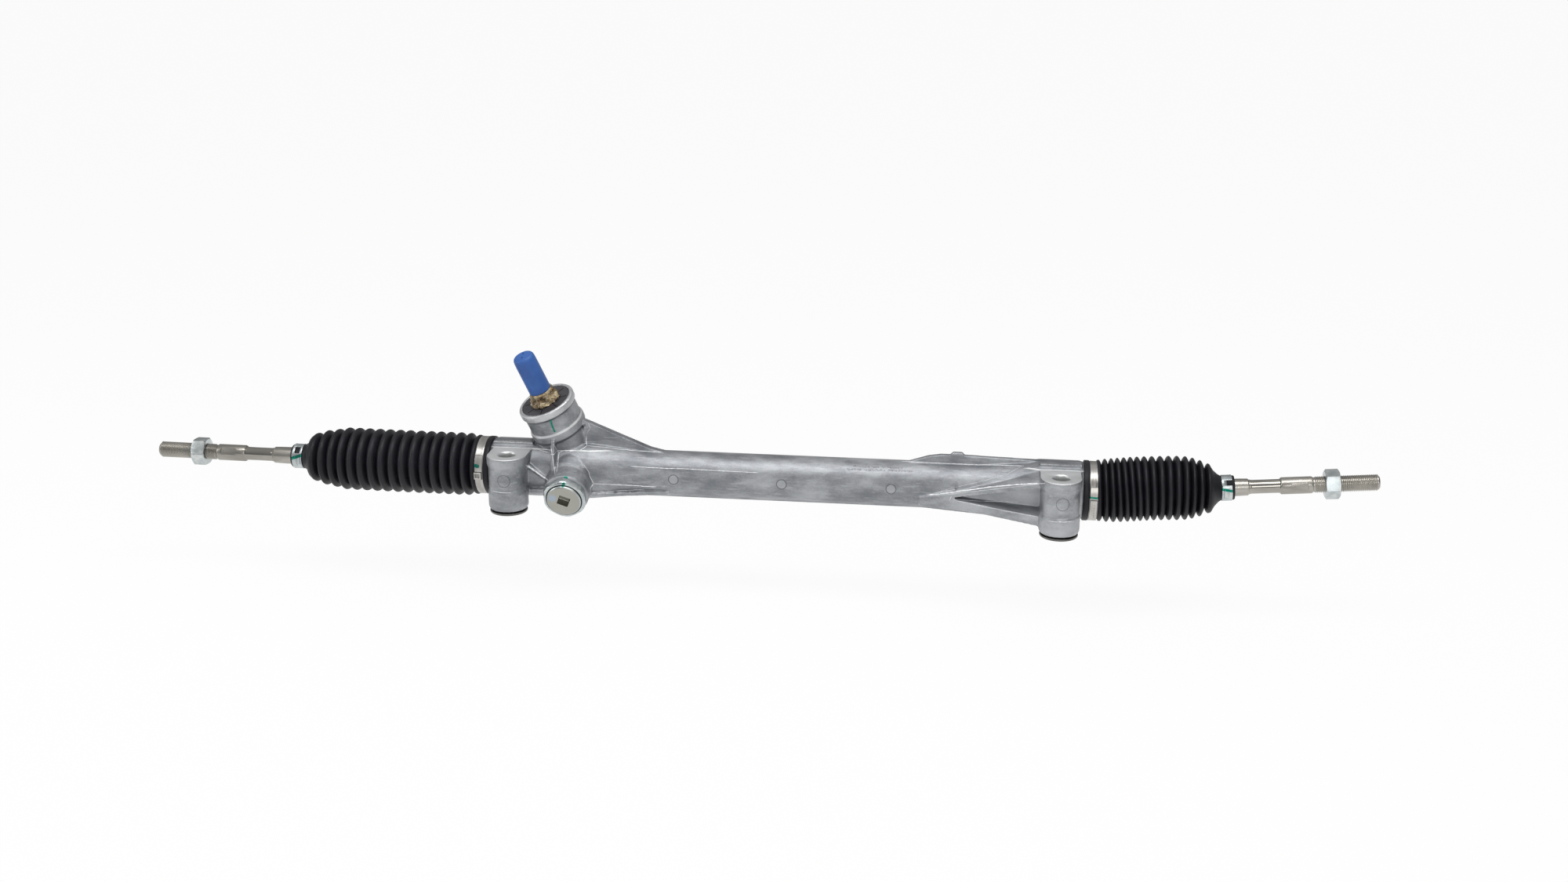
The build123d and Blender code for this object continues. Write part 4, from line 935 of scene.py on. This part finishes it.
def makeBoot(side):
    boot = boots[side]
    outline = bootOutline(boot)
    begin = boot["start"]
    along = Vector((outward[side], 0, 0))
    where = placed(rackLine, along, upward)
    lowSeam, highSeam = boot["seams"]
    grip = boot["cone"][-1][0]
    parts = (("BootBellows", ("housing", "rack"), (begin, lowSeam), (begin + mouthReach, lowSeam)),
             ("BootMiddle", ("rack", side + "_seat"), (lowSeam, highSeam), (lowSeam, highSeam)),
             ("BootEnd", (side + "_seat", side + "_clip"), (highSeam, boot["end"]), (highSeam, grip)))
    for name, pair, (low, high), (startAt, stopAt) in parts:
        part = cutOutline(outline, low, high)
        inner = [(place, max(holeRadius, radius - bootWall)) for place, radius in reversed(part)]
        if low == begin:
            inner = [(place, max(radius, mouthRadius) if place < begin + mouthReach else radius)
                     for place, radius in inner]
        closed = [(radius, place) for place, radius in part + inner + part[:1]]
        piece = lathe(side + name, closed, where, 112, 70)
        marked(piece, "ridge", ridgeShare)
        bendBoot(piece, side)
        finish(piece, "boot_rubber", stands=[side + "_boot"])
        start = rackLine + along * startAt * mm
        stop = rackLine + along * stopAt * mm
        if name in boot["rigid"]:
            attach(piece, pair[1])
        else:
            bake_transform(piece)
    print(side, "boot")


for side in sides:
    makeBoot(side)


# Bands at the boots' large ends; angles run from the top towards the front
bands = {
    "left": {"panel": (54, 86), "buckle": (87, 101), "panelRise": 0.55, "buckleRise": 1.6},
    "right": {"panel": (66, 86), "buckle": (91, 136), "panelRise": 1.0, "buckleRise": 0.7},
}
rightPits = {"angles": (100, 106, 112, 118, 124, 130), "place": 4.4}
rightCreases = {"angles": (13, 66), "shares": ((0.3, 0.22), (0.62, 0.3)), "width": 0.7}
bandInner, bandOuter, bandStart, bandWidth = 24.66, 25.42, 261.4, 7.2


def hoopOutline(radii, along, lip, middle=()):
    # A ring with rolled edges; the lip is given as (rise, distance from the edge) and mirrored
    (inner, outer), (low, high) = radii, along
    near = [(outer + rise, low + off) for rise, off in lip]
    far = [(outer + rise, high - off) for rise, off in reversed(lip)]
    return [(inner, low), *near, *middle, *far, (inner, high), (inner, low)]


def makeBand(side):
    band = bands[side]
    low = bandStart if side == "right" else -bandStart - bandWidth
    high = low + bandWidth
    outline = hoopOutline((bandInner, bandOuter), (low, high), [(-0.15, 0), (0.1, 0.35), (0, 1.1)],
                          [(bandOuter - 0.05, low + bandWidth / 2)])
    pieces = [shaded(lathe(side + "Hoop", outline, rack, 144, 50), 0.12)]

    def plate(name, rise, along, angles, edge, sink=0.1):
        return ringPlate(name, rack, (bandOuter - sink, bandOuter + rise), along, angles, edge)

    # Dark plates round the panel and the buckle, painted shade along their outlines
    for start, stop in (band["panel"], band["buckle"]):
        edge = plate("edge", 0.25, (low + 0.3, high - 0.3), (start - 1.3, stop + 1.3), 0.1)
        pieces.append(shaded(edge, 0.85))
    pieces.append(plate("panel", band["panelRise"], (low + 0.4, high - 0.4), band["panel"], 0.25))
    first, last = band["buckle"]
    start, stop = (low - 0.3, high - 0.8) if side == "left" else (low + 0.5, high - 0.5)
    buckle = plate("buckle", band["buckleRise"], (start, stop), (first, last), 0.3)
    if side == "left":
        hollow = plate("hollow", 3, (start + 1.3, stop - 1.6), (first + 3, last - 3), 0.1, -0.7)
        cutBy(buckle, hollow)
        # The hollow's floor is darkened as painted shade
        floor = plate("floor", 0.78, (start + 1.35, stop - 1.65), (first + 3.1, last - 3.1), 0.05, -0.5)
        pieces += [shaded(floor, 0.55), buckle]
    else:
        for angle in rightPits["angles"]:
            dot = aroundRack((low + rightPits["place"]) * mm, bandOuter * mm, angle)
            away = dot - rackLine
            away.x = 0
            pitAt = placed(dot, away, Vector((1, 0, 0)))
            cutBy(buckle, lathe("pit", [(0, 0.2), (0.4, 0.3), (0.55, 1.6), (0, 1.6)], pitAt, 12, 0))
        pieces.append(buckle)
        for share, rise in rightCreases["shares"]:
            along = (low + bandWidth * share, low + bandWidth * share + rightCreases["width"])
            pieces.append(plate("crease", rise, along, rightCreases["angles"], 0.12, 0.15))
        pieces.append(plate("dimple", 0.75, (high - 1.9, high - 0.5), (55, 70), 0.4, 0.2))
    hoop = joined(side + "Band", pieces)
    finish(hoop, "stainless_band", "housing", [side + "_boot_band"])


# Spring clips at the small ends, with a slot that shows the rubber, a lug and two tongues
clips = {
    "left": {"from": 82.2, "to": 90.8, "slot": (24, 60), "slotPlace": (84.0, 88.4), "lug": 63},
    "right": {"from": 87.6, "to": 96.2, "slot": (36, 62), "slotPlace": (91.6, 96.6), "lug": 65},
}
clipPlates = [
    {"name": "lug", "rise": 1.3, "along": (0.3, 8.3), "angles": (-2, 4), "edge": 0.3},
    {"name": "tongue", "rise": 0.55, "along": (1.6, 4.4), "angles": (12, 60), "edge": 0.2},
    {"name": "tongue", "rise": 0.55, "along": (5.4, 7.7), "angles": (12, 48), "edge": 0.2},
]
clipInner, clipOuter = 10.25, 11.0


def stretchOf(side, first, last):
    return sorted((outward[side] * first, outward[side] * last))


def makeClip(side):
    clip = clips[side]
    rod = rods[side]
    low, high = stretchOf(side, clip["from"], clip["to"])
    outline = hoopOutline((clipInner, clipOuter), (low, high), [(-0.1, 0), (0.15, 0.4), (0, 1.0)])
    ring = lathe(side + "Ring", outline, rod, 96, 50)
    slotAlong = stretchOf(side, *clip["slotPlace"])
    cutBy(ring, ringPlate("slot", rod, (clipInner - 2, clipOuter + 3), slotAlong, clip["slot"], 0.1))
    pieces = [ring]
    for plate in clipPlates:
        along = [low + place for place in plate["along"]]
        angles = [clip["lug"] + angle for angle in plate["angles"]]
        radii = (clipOuter - 0.2, clipOuter + plate["rise"])
        pieces.append(ringPlate(plate["name"], rod, radii, along, angles, plate["edge"]))
    made = joined(side + "Clip", pieces)
    finish(made, "zinc_steel", side + "_clip", [side + "_boot_clip"])


for side in sides:
    makeBand(side)
    makeClip(side)
print("bands and clips")


# Tie rods: ball, shank with its step and neck, milled flats, rolled thread
rodSizes = {"ball": 12.0, "shank": 7.5, "step": 109.6, "neck": 5.9, "neckFrom": 111.5, "neckTo": 136.4,
            "flat": 7.2, "flatsFrom": 144.3, "flatsTo": 158.7, "across": 6.45, "flatsCorner": 3.4,
            "threadFrom": 164.0, "threadTo": 215.6, "tip": 217.0, "pitch": 1.5, "root": 6.2, "crest": 6.98,
            "turn": {"left": 28.0, "right": 7.0}}


def polishShare(point):
    # The ball and the neck are bright, along the rod's own z
    place = abs(point.z) / mm
    inNeck = rodSizes["neckFrom"] < place < rodSizes["neckTo"] - 0.2
    return 1 if inNeck or place < rodSizes["ball"] + 2 else 0


def makeRod(side):
    size = rodSizes
    radius, shank, neck, flat, root = (size[key] for key in ("ball", "shank", "neck", "flat", "root"))
    step, neckFrom, neckTo, tip = (size[key] for key in ("step", "neckFrom", "neckTo", "tip"))
    threadFrom, threadTo = size["threadFrom"], size["threadTo"]
    ball = [(radius * cos(radians(angle)), radius * sin(radians(angle))) for angle in range(-90, 60, 6)]
    ball[0] = (0, -radius)
    outline = ball + [
        (6.0, 10.8), (6.0, 15), (6.6, 19), (shank, 24), (shank, 96), (shank - 0.15, 104),
        (shank - 0.35, step), (shank - 0.8, step + 0.5), (neck + 0.35, step + 0.9), (neck + 0.3, neckFrom),
        (neck + 0.05, neckFrom + 0.9), (neck, neckFrom + 2), (neck - 0.05, 124), (neck, neckTo - 2),
        (neck + 0.1, neckTo - 0.6), (neck + 0.5, neckTo - 0.3), (flat - 0.35, neckTo + 0.2),
        (flat, neckTo + 1), (flat, threadFrom - 2.4), (flat - 0.2, threadFrom - 1.8),
        (root, threadFrom - 0.8), (root, threadTo), (5.3, tip - 0.3), (4.9, tip), (0, tip)]
    sign = outward[side]
    core = lathe("core", [(out, sign * place) for out, place in outline], Matrix(), 80, 0)
    middleAt = (size["flatsFrom"] + size["flatsTo"]) / 2
    half = (size["flatsTo"] - size["flatsFrom"]) / 2
    angle = 90 - size["turn"][side]
    for turn in (angle, angle + 180):
        where = Matrix.Translation((0, 0, sign * middleAt * mm))
        cutter = block("cutter", where, (size["across"], -4.2, -half), (12, 4.2, half))
        openEdit(cutter)
        bpy.ops.mesh.select_mode(type="EDGE")
        bpy.ops.mesh.select_all(action="DESELECT")
        closeEdit()
        for edge in cutter.data.edges:
            ends = [cutter.data.vertices[index].co for index in edge.vertices]
            edge.select = abs(ends[0].x - ends[1].x) > 1 * mm
        bpy.ops.object.mode_set(mode="EDIT")
        bpy.ops.mesh.bevel(offset=size["flatsCorner"] * mm, segments=6)
        bpy.ops.mesh.select_mode(type="VERT")
        closeEdit()
        cutter.data.transform(Matrix.Rotation(radians(turn), 4, "Z"))
        cutBy(core, cutter)
    foot, crest = root - 0.2, size["crest"]
    thread = drawn("thread", [(foot, -0.74), (crest - 0.1, -0.14), (crest, 0), (crest - 0.1, 0.14),
                              (foot, 0.74), (foot, -0.74)])
    closeEdit(0.002)
    turns = int((threadTo - 0.2 - threadFrom) / size["pitch"])
    modify(thread, "SCREW", axis="Z", angle=2 * pi, screw_offset=sign * size["pitch"] * mm,
           iterations=turns, steps=28, render_steps=28)
    openEdit(thread)
    closeEdit(holes=True, turned=True)
    thread.data.transform(Matrix.Translation((0, 0, sign * (threadFrom + 0.4) * mm)))
    piece = joined(side + "Rod", [core, thread])
    marked(piece, "polish", polishShare)
    piece.data.transform(rods[side])
    smoothShade(piece, 32)
    finish(piece, "machined_steel", side + "_rod", [side + "_tie_rod"])
    print(side, "rod", len(piece.data.polygons))


for side in sides:
    makeRod(side)


# Blue cap and the crumpled film under it, along the pinion's axis
cap = {"from": 76.5, "to": 112.5, "radius": 9.65, "wall": 1.5, "vents": 3.2}
film = {"from": 64.5, "to": 76.3, "foot": 12.3, "taper": 3.0, "bulge": 0.8, "rows": 28, "wall": 0.3,
        "crumple": 1.5}


def makeCap():
    low, high, radius, wall = cap["from"], cap["to"], cap["radius"], cap["wall"]
    outline = [(0, high - wall), (radius - wall - 0.6, high - wall), (radius - wall, high - wall - 0.6),
               (radius - wall, low), (radius - 0.3, low), (radius, low + 0.35), (radius - 0.05, high - 8),
               (radius - 0.2, high - 4), (radius - 0.45, high - 2.2), (radius - 0.95, high - 1.1),
               (radius - 1.75, high - 0.4), (radius - 2.9, high - 0.08), (radius - 4.5, high), (0, high)]
    shell = lathe("pullCap", outline, tower, 96, 60)
    for shift in (-cap["vents"], cap["vents"]):
        pin = lathe("pin", [(0, high - 3), (0.85, high - 3), (0.85, high + 2), (0, high + 2)],
                    tower @ Matrix.Translation((shift * mm, 0, 0)), 24, 0)
        cutBy(shell, pin)
    smoothShade(shell, 40)
    finish(shell, "cap_blue", "cap", ["pinion_cap"])


def makeFilm():
    low, high = film["from"], film["to"]
    outline = []
    for number in range(film["rows"] + 1):
        share = number / film["rows"]
        radius = film["foot"] - film["taper"] * share ** 1.3 + film["bulge"] * sin(share * 9)
        outline.append((radius, low + (high - low) * share))
    piece = lathe("shaftFilm", outline, Matrix(), 110, 0)
    for vertex in piece.data.vertices:
        place = vertex.co.copy()
        angle = atan2(place.y, place.x)
        share = (place.z / mm - low) / (high - low)
        spot = Vector((cos(angle) * 2.6, sin(angle) * 2.6, share * 2.2))
        swell = noise.noise(spot) * 1.2 + abs(noise.noise(spot * 2.3 + Vector((5, 0, 0)))) * 1.1 - 0.35
        swell += noise.noise(spot * 5.1 + Vector((0, 9, 0))) * 0.5
        fade = min(1, (1 - share) * 4 + 0.15)
        out = 1 + swell * film["crumple"] * fade / 11
        drop = noise.noise(spot * 1.7 + Vector((0, 3, 0))) * 1.3 * (1 - share) ** 2
        vertex.co = (place.x * out, place.y * out, max(place.z + drop * mm, low * mm))
    piece.data.transform(tower)
    modify(piece, "SOLIDIFY", thickness=film["wall"] * mm, offset=-1)
    smoothShade(piece, 25)
    finish(piece, "wrap_film", "pinion", ["shaft_wrap"])


makeCap()
makeFilm()
finish(softened("pinion_dust_cover", "dustCover", 0.12), "black_plastic", "housing", ["pinion_dust_cover"])
print("cap, film and cover")
